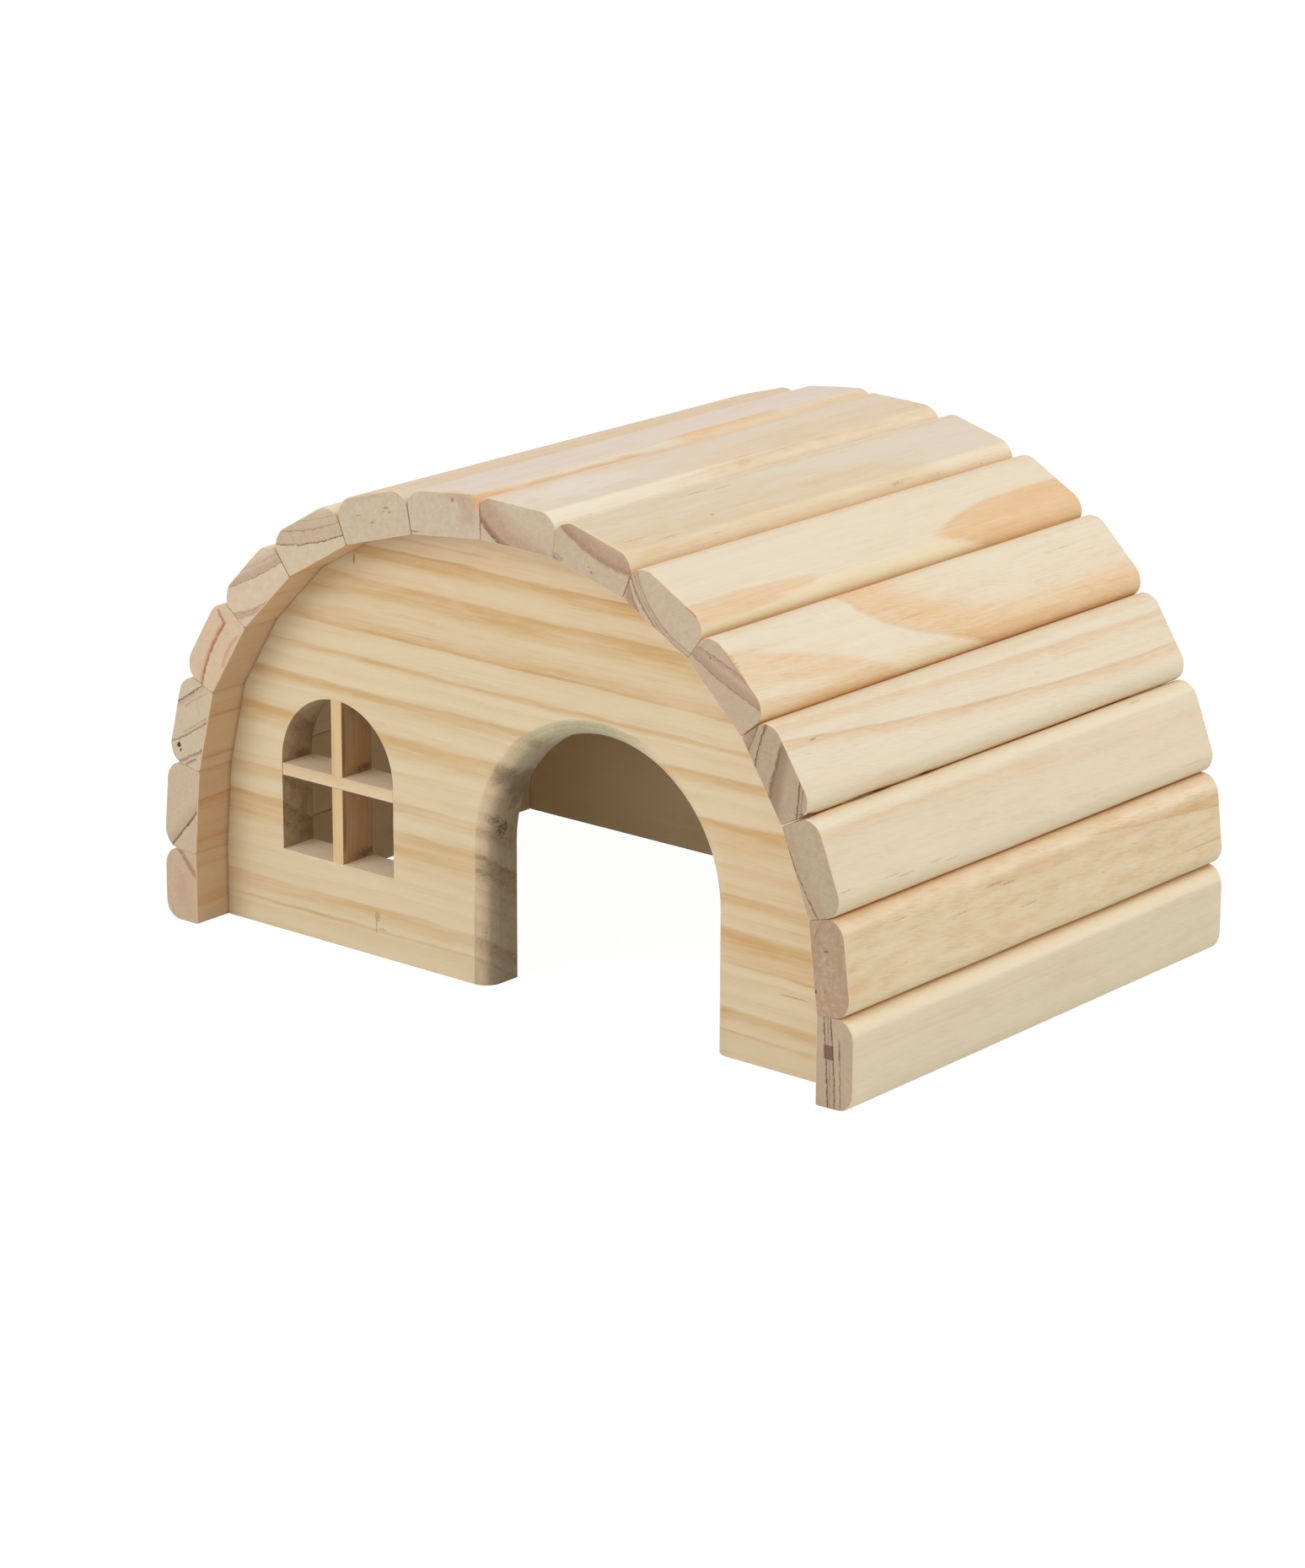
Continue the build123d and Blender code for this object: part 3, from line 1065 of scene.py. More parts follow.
SLAT_3 = SlatLook(
    timber=Timber(srgb(232, 214, 184), srgb(202, 185, 157), end_line=srgb(128, 86, 62)),
    growth=(GrowthStreak(-6.5, fade=1.6, edge=0.3), GrowthStreak(3.5, wander=2.0, fade=2.5, edge=0.3)),
    rings=(
        RingLine((-6.0, 8.7), (2.3, 0.2), sag=-0.3, fade=0.8, line=0.55, fill=0.3, width=0.4),
        RingLine((-3.0, 6.4), (3.2, 0.3), fade=0.6, line=0.3, fill=0.2, width=0.3, short=True),
        RingLine((4.0, 8.9), (9.9, 3.1), fade=-1.6, line=0.75, width=0.4),
        RingLine((3.4, 7.2), (8.8, 1.8), fade=-0.8, line=0.25, fill=0.2, width=0.35, short=True),
        RingLine((-8.8, 5.2), (-4.5, 0.3), fade=-0.9, line=0.45, fill=0.4, width=0.7),
        RingLine((-9.4, 4.2), (-7.0, 1.4), fade=-0.8, fill=0.4, width=0.5, short=True),
    ),
    flecks=(
        Fleck((-6.2, FRONT, 6.9), (0.75, 1.5, 0.55), 1.0, 1.8, srgb(44, 34, 28)),
        Fleck((-7.0, FRONT, 6.2), (0.45, 1.5, 0.35), 0.9, 1.8, srgb(66, 50, 38)),
    ),
    thinner=(-0.15, 0.0),
)

SLAT_4 = SlatLook(
    timber=Timber(
        srgb(224, 206, 177), srgb(211, 186, 156), end_line=srgb(170, 108, 74), end_late=srgb(196, 150, 118),
    ),
    growth=(GrowthTongue(1.0, 6.0, 20.0, -45.0, core=0.5, strength=0.5, edge=0.2),),
    rings=(
        RingLine((-10.0, 3.3), (6.4, 4.9), sag=0.9, fade=1.6, line=0.8, fill=0.4, width=0.8, short=True),
        RingLine((6.2, 4.9), (7.6, 8.2), fade=-1.0, line=0.7, fill=0.4, width=0.8, short=True),
        RingLine((-2.5, 0.8), (6.5, 0.9), sag=0.7, fade=-1.2, line=0.25, fill=0.45, short=True),
    ),
    thinner=(-0.2, 0.0),
)

SLAT_5 = SlatLook(
    timber=Timber(srgb(232, 214, 184), srgb(211, 191, 165), end_line=srgb(134, 98, 76)),
    growth=(GrowthStreak(-6.0, wander=3.0, fade=4.0), GrowthStreak(2.0, wander=2.0, fade=2.0)),
    rings=(
        RingLine((-7.6, 9.0), (8.4, 3.9), sag=-0.35, fade=2.8, line=0.45, fill=0.5, width=0.3),
        RingLine((-1.0, 9.2), (8.6, 6.0), sag=-0.2, line=0.3, fill=0.25, width=0.3),
        RingLine((-10.2, 4.4), (-2.0, 0.7), sag=-0.3, fade=-1.7, line=0.3, fill=0.5, width=0.4),
        RingLine((-10.4, 3.2), (-3.4, 0.2), sag=-0.2, fade=-0.6, line=0.25, fill=0.3, width=0.3),
    ),
)

SLAT_6 = SlatLook(
    timber=Timber(srgb(229, 210, 180), srgb(205, 188, 161), end_late=srgb(186, 156, 130)),
    growth=(GrowthStreak(-8.0, fade=4.0, edge=0.2), GrowthStreak(4.0, wander=-3.0)),
    rings=(
        RingLine((-9.6, 7.4), (8.4, 2.3), sag=-0.75, fade=9.0, line=0.7, fill=0.5, width=0.3),
        RingLine((-6.5, 9.2), (7.8, 5.2), sag=-0.4, fade=0.6, line=0.4, fill=0.25, width=0.3),
        RingLine((-0.5, 9.2), (7.8, 7.0), sag=-0.2, fade=0.5, line=0.2, fill=0.15, width=0.3),
    ),
    thinner=(-0.2, 0.0),
)

SLAT_7 = SlatLook(
    timber=Timber(srgb(221, 198, 168), srgb(197, 181, 155), right_rounding=srgb(218, 202, 178)),
    growth=(GrowthStreak(4.5, wander=2.0, fade=6.0, strength=0.45), GrowthStreak(-5.0, fade=2.5)),
    flecks=(
        Fleck((-0.8, FRONT, 3.7), (0.6, 1.5, 0.18), 0.6),
        Fleck((4.0, FRONT, 6.2), (0.7, 1.5, 0.22), 0.6, 1.4),
        Fleck((4.8, FRONT, 5.2), (0.6, 1.5, 0.16), 0.5, 1.4),
        Fleck((3.2, FRONT, 5.6), (0.4, 1.5, 0.14), 0.45),
        Fleck((-4.3, FRONT, 5.6), (0.9, 1.5, 0.12), 0.4, 1.4),
        Fleck((0.0, FRONT, 9.2), (6.0, 1.5, 1.0), 0.4, 1.4, PINK, soft=0.9),
    ),
    thinner=(-0.2, 0.0),
    blush=0.25,
    end_mottle=1.0,
)

SLAT_8 = SlatLook(  # left of the crown
    timber=Timber(
        srgb(223, 206, 189), srgb(200, 182, 159), late=srgb(228, 186, 134), left_rounding=srgb(216, 196, 176),
        right_rounding=srgb(227, 213, 187),
    ),
    growth=(
        GrowthStreak(6.7, wander=-0.6, fade=5.0, strength=0.85, ends=(0.0, 34.0), crisp=1.8),
        GrowthStreak(8.4, fade=3.4, strength=0.35, ends=(34.0, 75.0), crisp=1.8),
        GrowthStreak(4.5, wander=0.6, fade=1.5, strength=0.3, ends=(-60.0, 3.0), crisp=0.9),
    ),
    flecks=(
        Fleck((3.5, FRONT, 8.6), (5.5, 2.0, 1.4), 0.5, 1.4, PINK, soft=0.8),
        Fleck((7.2, FRONT, 5.6), (2.8, 2.0, 4.0), 0.6, 1.8, srgb(182, 148, 124), soft=0.9),
        Fleck((4.6, FRONT, 3.4), (2.4, 2.0, 2.4), 0.25, 1.4, PINK, soft=0.8),
        Fleck((2.7, FRONT, 7.8), (0.4, 1.5, 0.5), 0.55),
        Fleck((-8.8, FRONT, 0.7), (1.8, 2.0, 0.25), 0.6, 1.0, srgb(140, 104, 84)),
        Fleck((9.5, -62.0, 7.6), (1.9, 9.0, 3.0), 0.8, 1.2, srgb(220, 168, 112), soft=0.9),
        Fleck((10.0, -33.0, 7.6), (1.4, 35.0, 2.6), 0.75, 1.0, srgb(220, 170, 118), soft=0.7),
        Fleck((-8.6, 48.0, 7.6), (1.6, 18.0, 3.0), 0.5, 1.4, srgb(200, 168, 138), soft=0.8),
        Fleck((-7.6, 3.0, 8.4), (0.4, 3.0, 1.0), 0.5, 1.4, srgb(186, 150, 118)),
        Fleck((10.0, -24.0, 7.2), (0.3, 2.0, 2.0), 0.5, 1.4, srgb(190, 160, 110)),
    ),
    mottle=0.16,
    cloud=0.25,
    groove_shade=(0.0, 0.1),
    blush=0.25,
    end_mottle=1.0,
)

SLAT_9 = SlatLook(  # right of the crown
    timber=Timber(
        srgb(222, 204, 180), srgb(198, 179, 151), late=srgb(221, 188, 144), end_late=srgb(172, 136, 112),
        end_line=srgb(136, 98, 76), left_rounding=srgb(227, 206, 184), right_rounding=srgb(237, 226, 202),
    ),
    growth=(
        GrowthTongue(6.6, 8.4, 30.0, -46.0, strength=0.34, crisp=1.6),
        GrowthStreak(8.2, wander=-1.2, fade=2.6, strength=0.25, ends=(-26.0, 75.0)),
        GrowthStreak(-8.4, wander=-0.2, fade=3.8, crisp=0.8),
    ),
    rings=(
        RingLine((-10.9, 5.2), (-3.2, -0.8), sag=-0.5, fade=8.5, line=0.0, fill=0.55),
        RingLine((-10.6, 4.9), (-3.2, -0.4), sag=-0.5, fade=2.6, line=0.65, fill=0.9, width=1.4),
        RingLine((-10.4, 7.4), (4.0, 0.0), sag=-0.3, fade=3.0, line=0.0, fill=0.3),
    ),
    flecks=(
        Fleck((8.4, -2.6, 8.8), (1.2, 3.2, 2.0), 0.5, 1.4, TAN, soft=0.8),
        # Painted sheen: a pale grey-white patch where the face reflects the white surroundings.
        Fleck((-1.0, -46.0, FACE), (8.0, 26.0, 2.0), 0.5, 0.8, srgb(229, 221, 208), soft=0.9),
        Fleck((-1.2, -41.0, FACE), (0.9, 2.0, 0.8), 0.3, 1.4, TAN, soft=0.8),
        Fleck((3.6, -41.5, FACE), (0.8, 1.8, 0.8), 0.3, 1.4, TAN, soft=0.8),
    ),
    thinner=(0.2, 0.4),
    shorter=1.4,
    mottle=0.14,
    cloud=0.25,
    groove_shade=(0.3, 0.0),
    end_mottle=0.8,
)

SLAT_10 = SlatLook(
    timber=Timber(
        srgb(221, 207, 184), srgb(194, 174, 145), late=srgb(219, 190, 146), end_late=srgb(174, 142, 116),
        end_line=srgb(150, 116, 90), left_rounding=srgb(225, 212, 191), right_rounding=srgb(236, 218, 188),
    ),
    growth=(
        GrowthTongue(12.0, 18.0, -25.0, 66.0, strength=0.3, crisp=2.0, point=1.6),
        GrowthTongue(5.0, 3.5, 22.0, 16.0, strength=0.2, crisp=1.6, point=1.6),
        GrowthStreak(7.8, wander=1.4, fade=4.0, strength=0.2, crisp=1.2),
        GrowthStreak(-7.6, fade=2.8, strength=0.35, crisp=0.9),
    ),
    rings=(
        RingLine((-9.4, 7.2), (9.4, 5.1), sag=-1.25, fade=5.6, line=0.0, fill=0.7),
        RingLine((-7.4, 7.0), (9.4, 5.2), sag=-1.15, fade=1.7, line=0.4, fill=0.4, width=1.6),
        RingLine((-9.5, 0.9), (-6.0, -0.8), fade=-1.5, line=0.3, fill=0.5),
    ),
    flecks=(
        Fleck((0.7, FRONT, 1.6), (0.4, 1.5, 0.22), 0.6),
        Fleck((-0.2, FRONT, 2.3), (0.3, 1.5, 0.14), 0.4),
        Fleck((-8.4, FRONT, 0.8), (1.6, 1.5, 0.8), 0.35, 1.8, srgb(128, 106, 84)),
        Fleck((-5.2, -27.5, FACE), (0.16, 4.0, 0.5), 0.6, 0.8, srgb(150, 116, 76)),
        Fleck((-4.5, -20.0, FACE), (0.16, 4.5, 0.5), 0.5, 0.8, srgb(160, 126, 86)),
        Fleck((9.1, -23.4, 9.0), (0.26, 1.6, 1.0), 0.7, 0.8, srgb(140, 100, 56)),
        Fleck((8.6, -37.0, 9.0), (0.22, 2.0, 1.0), 0.4, 0.8, srgb(160, 126, 86)),
        Fleck((9.3, 22.6, 8.8), (0.6, 3.0, 1.4), 0.5, 1.4, srgb(176, 148, 100)),
        Fleck((3.5, -32.8, FACE), (0.35, 0.8, 0.5), 0.35),
        Fleck((4.4, -58.0, FACE), (0.18, 5.0, 0.5), 0.35, 1.4, RESIN),
        Fleck((6.4, -50.0, FACE), (0.18, 4.0, 0.5), 0.35, 1.4, RESIN),
    ),
    thinner=(0.25, 0.4),
    shorter=1.2,
    cloud=0.25,
    canals=0.45,
    groove_shade=(0.2, 0.0),
    end_mottle=0.7,
)

SLAT_11 = SlatLook(
    timber=Timber(
        srgb(229, 215, 189), srgb(196, 177, 151), late=srgb(227, 189, 142), end_late=srgb(172, 136, 108),
        left_rounding=srgb(224, 208, 180), right_rounding=srgb(237, 220, 184),
    ),
    growth=(
        GrowthTongue(6.6, 2.4, -50.0, 25.0, crisp=0.9, point=1.5),
        GrowthTongue(5.9, 5.4, 40.0, -25.0, strength=0.88, crisp=1.2, point=1.35),
        GrowthTongue(7.4, 3.2, 40.0, -24.0, strength=0.25, crisp=2.6, point=1.35),
        GrowthStreak(9.6, fade=4.0, strength=0.2, crisp=1.5),
    ),
    rings=(
        RingLine((-9.9, 7.4), (8.7, 1.3), sag=-2.3, fade=0.8, line=0.35, width=0.35),
        RingLine((-9.9, 6.4), (8.7, 0.4), sag=-2.1, fade=0.8, line=0.3, width=0.35),
        RingLine((-9.9, 4.9), (8.7, -0.9), sag=-1.7, fade=1.0, line=0.45, fill=0.5, width=0.5),
        RingLine((-10.2, 4.4), (-4.4, 0.2), sag=-0.3, fade=-3.0, line=0.3, fill=0.8),
    ),
    flecks=(
        Fleck((9.4, -25.2, 9.0), (0.22, 0.7, 0.8), 0.8, 0.4),
        Fleck((5.6, FRONT, 8.9), (1.6, 1.5, 0.3), 0.7, 1.2, srgb(190, 132, 90)),
    ),
    thinner=(0.1, 0.2),
    shorter=0.5,
    strokes=0.2,
    groove_shade=(0.6, 0.1),
    end_mottle=0.8,
)

SLAT_12 = SlatLook(
    timber=Timber(
        srgb(230, 216, 190), srgb(192, 168, 142), late=srgb(227, 190, 143), end_late=srgb(172, 138, 114),
        left_rounding=srgb(229, 213, 186), right_rounding=srgb(235, 217, 184),
    ),
    growth=(
        GrowthStreak(-4.6, wander=73.5, bow=-11.8, fade=14.0, strength=0.62, crisp=2.4),
        GrowthStreak(7.4, wander=9.0, fade=6.0, strength=0.55, ends=(-75.0, -20.0), crisp=1.2),
        GrowthStreak(1.6, wander=20.0, fade=2.4, strength=0.25, ends=(-75.0, -40.0), crisp=1.2),
        GrowthTongue(-12.5, 24.0, 30.0, -56.0, core=0.6, strength=0.76, edge=0.12, crisp=1.0),
        GrowthTongue(-12.5, 22.5, 30.0, -50.0, core=0.35, strength=0.2, crisp=5.0),
        GrowthStreak(8.4, wander=0.6, fade=4.0, strength=0.35, ends=(10.0, 75.0), crisp=2.4),
    ),
    rings=(
        RingLine((-9.9, 4.1), (1.2, 8.9), sag=0.2, fade=-1.4, line=0.4, fill=0.5, width=0.3),
        RingLine((-10.0, 1.5), (8.0, 7.5), sag=-0.5, fade=3.0, line=0.4, fill=0.6, width=0.35),
    ),
    flecks=(
        Fleck((-6.3, FRONT, 5.0), (0.2, 1.5, 0.2), 0.9),
        Fleck((-1.0, FRONT, 8.8), (4.5, 1.5, 0.4), 0.5, 1.6, srgb(186, 138, 102)),
        Fleck((-3.6, 46.0, FACE), (0.16, 6.0, 0.6), 0.35, 1.2, srgb(178, 148, 106)),
        Fleck((-1.4, 54.0, FACE), (0.16, 4.0, 0.6), 0.3, 1.2, srgb(178, 148, 106)),
        Fleck((0.4, -10.0, FACE), (0.2, 4.0, 0.6), 0.4, 1.2, srgb(190, 148, 98)),
    ),
    thinner=(0.3, -0.2),
    strokes=0.6,
    end_mottle=0.5,
)

SLAT_13 = SlatLook(
    timber=Timber(
        srgb(229, 215, 189), srgb(178, 157, 131), late=srgb(223, 188, 142), end_late=srgb(154, 128, 104),
        end_line=srgb(110, 74, 56), left_rounding=srgb(226, 209, 180), right_rounding=srgb(226, 215, 188),
    ),
    growth=(
        GrowthStreak(-5.1, wander=8.0, bow=2.1, fade=3.2, strength=0.62, edge=0.22, crisp=0.9),
        GrowthStreak(-8.3, wander=3.3, bow=0.6, edge=0.06, crisp=1.0),
        GrowthStreak(-3.6, wander=1.0, fade=1.8, strength=0.4, ends=(26.0, 75.0), crisp=0.8),
        GrowthStreak(4.6, wander=12.0, strength=0.25, ends=(-75.0, -34.0), crisp=1.4),
        GrowthStreak(7.8, wander=0.4, fade=3.4, strength=0.2, crisp=1.8),
    ),
    rings=(
        RingLine((-9.2, 7.0), (-2.8, -0.3), sag=-0.3, fade=1.0, line=0.85, fill=0.3, width=0.35),
        RingLine((-9.8, 5.2), (-6.5, 0.5), fade=-2.0, line=0.4, fill=0.6),
        RingLine((-4.8, 8.8), (3.7, 0.2), sag=-0.4, fade=4.0, line=0.0, fill=0.9),
        RingLine((-4.2, 8.2), (-0.6, 4.6), fade=0.8, line=0.45, fill=0.3, width=0.7, short=True),
        RingLine((-0.6, 4.2), (3.7, 0.0), sag=-0.2, fade=1.2, line=0.45, fill=0.3, width=1.0, short=True),
        RingLine((3.9, 8.9), (9.6, 4.3), fade=0.8, line=0.8, fill=0.4, width=0.4),
        RingLine((5.2, 9.0), (9.9, 5.2), fade=0.5, line=0.4, fill=0.3, width=0.3),
    ),
    flecks=(
        Fleck((-3.4, -56.5, FACE), (0.2, 1.2, 0.5), 0.5),
        Fleck((-9.0, FRONT, 6.6), (0.5, 1.5, 0.6), 0.5, 1.4, srgb(150, 92, 76)),
        # These three are painted shade inside the open joint to slat 14.
        Fleck((9.5, -63.0, 5.9), (0.6, 2.4, 0.8), 0.9, 1.4, srgb(84, 52, 30)),
        Fleck((9.5, -44.0, 5.8), (0.6, 7.4, 0.6), 0.8, 1.4, GAP_SHADE),
        Fleck((9.5, -25.0, 5.8), (0.6, 2.6, 0.6), 0.8, 1.4, GAP_SHADE),
        Fleck((9.5, 34.0, 5.7), (0.6, 24.0, 0.5), 0.5, 1.8, srgb(150, 104, 62)),
    ),
    thinner=(0.1, -0.4),
    strokes=0.6,
    groove_shade=(0.45, 0.0),
    blush=0.15,
    end_mottle=0.6,
)

SLAT_14 = SlatLook(
    timber=Timber(
        srgb(226, 210, 182), srgb(182, 163, 134), end_line=srgb(120, 86, 62),
        left_rounding=srgb(232, 218, 189), right_rounding=srgb(224, 208, 176),
    ),
    growth=(
        GrowthStreak(-6.6, wander=1.0, fade=4.2, strength=0.3, ends=(-75.0, 14.0), crisp=0.8),
        GrowthStreak(-6.5, wander=3.0, fade=5.0, strength=0.14, ends=(0.0, 75.0), crisp=1.2),
    ),
    rings=(
        RingLine((-9.5, 0.2), (9.8, 2.6), sag=-0.7, fade=-2.4, line=0.6, fill=0.0),
        RingLine((-9.5, 0.4), (9.8, 2.8), sag=-0.7, fade=3.0, line=0.0, fill=0.25),
    ),
    flecks=(
        Fleck((5.8, -62.5, 9.3), (0.2, 2.4, 0.6), 0.28, 1.8, srgb(158, 122, 78)),
        Fleck((6.2, -48.5, 9.3), (0.18, 3.0, 0.6), 0.28, 1.8, RESIN),
        Fleck((6.9, -43.0, 9.3), (0.18, 3.0, 0.6), 0.28, 1.8, RESIN),
        Fleck((6.6, -33.5, 9.3), (0.18, 3.0, 0.6), 0.28, 1.8, srgb(158, 122, 78)),
        Fleck((7.4, -29.0, 9.3), (0.18, 2.6, 0.6), 0.28, 1.8, RESIN),
        Fleck((-9.0, 45.0, 8.6), (0.2, 2.4, 1.4), 0.4, 1.0, RESIN),
        Fleck((7.4, 57.0, 9.3), (0.16, 4.0, 0.6), 0.35, 1.0, RESIN),
    ),
    thinner=(0.1, -0.4),
    figure=0.06,
    canals=0.15,
    strokes=0.5,
    groove_shade=(0.4, 0.3),
    blush=0.2,
    end_mottle=0.7,
)

SLAT_15 = SlatLook(
    timber=Timber(
        srgb(224, 202, 164), srgb(176, 148, 118), late=srgb(212, 172, 120), left_rounding=srgb(234, 213, 180),
        right_rounding=srgb(224, 207, 170),
    ),
    growth=(
        GrowthStreak(-15.4, wander=12.4, fade=-3.0, strength=0.4, ends=(18.0, 75.0), edge=0.2, crisp=0.8),
        GrowthStreak(-7.6, wander=2.0, strength=0.3, ends=(-20.0, 75.0), crisp=1.0),
    ),
    rings=(
        RingLine((-9.6, 3.2), (-3.2, 0.0), sag=-0.3, fade=3.0, line=0.2),
        RingLine((-10.0, 8.0), (-1.0, 9.2), fade=-5.0, line=0.0, fill=0.25),
    ),
    flecks=(
        Fleck((-3.6, FRONT, 3.9), (0.25, 1.5, 0.7), 0.6),
        Fleck((4.8, FRONT, 0.4), (0.45, 1.5, 0.3), 0.9),
        Fleck((4.6, FRONT, 2.8), (0.3, 1.5, 0.15), 0.5),
        Fleck((-6.2, -47.0, 9.3), (0.2, 4.0, 0.6), 0.5, 1.0, srgb(160, 122, 74)),
        Fleck((-5.6, -16.0, FACE), (0.3, 4.0, 0.6), 0.5, 1.4, AMBER),
        Fleck((-4.8, -11.0, FACE), (0.3, 3.0, 0.6), 0.5, 1.4, AMBER),
        Fleck((-2.4, -27.0, FACE), (0.2, 4.0, 0.6), 0.4, 1.2, AMBER),
        Fleck((1.2, -5.0, FACE), (0.25, 4.0, 0.6), 0.4, 1.4, AMBER),
        Fleck((3.8, 58.0, FACE), (0.2, 7.0, 0.8), 0.4, 1.0, AMBER),
        Fleck((-7.0, -2.0, 9.2), (1.6, 9.0, 1.6), 0.4, 1.6, TAN, soft=0.9),
        Fleck((1.0, -28.0, FACE), (1.8, 7.0, 2.0), 0.4, 1.6, TAN, soft=0.9),
        Fleck((4.6, -12.0, FACE), (1.4, 5.0, 2.0), 0.45, 1.6, TAN, soft=0.9),
        Fleck((3.6, -62.0, FACE), (2.4, 5.0, 2.0), 0.5, 1.6, TAN, soft=0.9),
    ),
    thinner=(0.75, -0.1),
    figure=0.18,
    mottle=0.44,
    canals=0.7,
    strokes=0.8,
    groove_shade=(0.8, 0.2),
    blush=0.3,
    end_mottle=1.6,
)

SLAT_16 = SlatLook(  # at the right foot
    timber=Timber(
        srgb(222, 207, 177), srgb(184, 163, 137), late=srgb(208, 176, 128), end_late=srgb(160, 134, 112),
        end_line=srgb(98, 70, 56), left_rounding=srgb(236, 221, 191), right_rounding=srgb(226, 213, 181),
    ),
    growth=(GrowthTongue(-3.3, 0.9, 1.0, 12.0, core=0.2, strength=0.2),),
    rings=(
        RingLine((-5.5, 5.7), (9.0, 6.1), sag=0.1, fade=0.5, line=0.45, fill=0.2, width=0.35, short=True),
        RingLine((-9.5, 3.6), (9.0, 4.9), sag=0.2, fade=-0.9, line=0.8, width=0.35),
        RingLine((-9.5, 2.9), (9.0, 3.8), sag=0.1, fade=-0.6, line=0.4, fill=0.2, width=0.3),
        RingLine((-9.5, 1.8), (9.0, 3.0), sag=0.15, fade=0.8, line=0.75, width=0.35),
    ),
    flecks=(
        Fleck((-2.4, FRONT, 3.2), (1.5, 1.5, 1.2), 0.85, 0.3, srgb(112, 74, 56), MarkShape.SQUARE, 0.2),
        Fleck((-2.2, FRONT, 5.8), (1.0, 1.5, 0.2)),
    ),
    thinner=(0.1, 0.1),
    figure=0.05,
    canals=0.12,
    strokes=0.4,
    groove_shade=(1.0, 0.0),
    blush=0.2,
    end_mottle=0.6,
)

SLAT_LOOKS: tuple[SlatLook, ...] = (  # from the left foot to the right foot
    SLAT_1, SLAT_2, SLAT_3, SLAT_4, SLAT_5, SLAT_6, SLAT_7, SLAT_8, SLAT_9, SLAT_10, SLAT_11, SLAT_12,
    SLAT_13, SLAT_14, SLAT_15, SLAT_16,
)

OPEN_JOINT = GlueJoint(  # not quite drawn together at the front
    along=(-65.0, -61.0, -60.0, -52.0, -51.0, -37.0, -36.0, -28.0, -27.0, -22.0, -21.0, 65.0),
    gap=(0.30, 0.30, 0.05, 0.05, 0.20, 0.20, 0.04, 0.04, 0.16, 0.16, 0.02, 0.01),
    stain=0.8,
)

JOINTS: tuple[GlueJoint, ...] = (  # from the left foot to the right foot
    *[GlueJoint(stain=0.3)] * 2,
    *[GlueJoint()] * 2,
    GlueJoint(mouth=0.08, stain=0.9),  # 5 to 6
    GlueJoint(mouth=0.06, stain=0.9),
    GlueJoint(mouth=0.12, stain=0.6),
    GlueJoint(mouth=0.14, stain=0.7),  # 8 to 9, at the crown
    GlueJoint(mouth=0.0, stain=0.2),
    GlueJoint(mouth=0.10, stain=0.7),
    GlueJoint(stain=0.4),
    GlueJoint(along=(-65.0, -60.0, 65.0), gap=(0.05, 0.01, 0.01), mouth=0.14, stain=0.7),
    OPEN_JOINT,
    GlueJoint(along=(-65.0, -52.0, -48.0, 65.0), gap=(0.04, 0.04, 0.01, 0.01), stain=0.5),
    GlueJoint(along=(-65.0, -60.0, -54.0, -50.0, 65.0), gap=(0.01, 0.03, 0.03, 0.01, 0.01), stain=0.4),
)


@dataclass
class ArchRoof:
    """The arch: sixteen slats, side by side from foot to foot."""

    looks: tuple[SlatLook, ...] = SLAT_LOOKS
    joints: tuple[GlueJoint, ...] = JOINTS

    def build(self) -> list[bpy.types.Object]:
        """Build every slat, from the left foot to the right foot, and return them."""
        parts = zip(self.looks, [None, *self.joints], [*self.joints, None])
        return [Slat(number, *part).build() for number, part in enumerate(parts, 1)]


# ------------------------------------------------------------------ end walls and window bars


def eased_edges(node: bpy.types.Object, width: float) -> None:
    """Merge a CAD piece's loose triangles and soften its sharp edges, with modifiers.

    Args:
        node: the CAD piece.
        width: width of the softened edge, in metres.
    """
    weld = node.modifiers.new("merge", "WELD")
    weld.merge_threshold = 1e-6
    bevel = node.modifiers.new("ease edges", "BEVEL")
    bevel.width = width
    bevel.segments = 2
    bevel.limit_method = "ANGLE"
    bevel.angle_limit = math.radians(40)
    bevel.harden_normals = True


def dress(node: bpy.types.Object, finish: PineFinish, edge_ease: float) -> bpy.types.Object:
    """Give a CAD piece its finish and soft edges.

    Args:
        node: the CAD piece.
        finish: what it is made of.
        edge_ease: width of its softened edges, in metres.

    Returns:
        The same piece.
    """
    node.data.materials.clear()
    node.data.materials.append(finish.material())
    eased_edges(node, edge_ease)
    return node


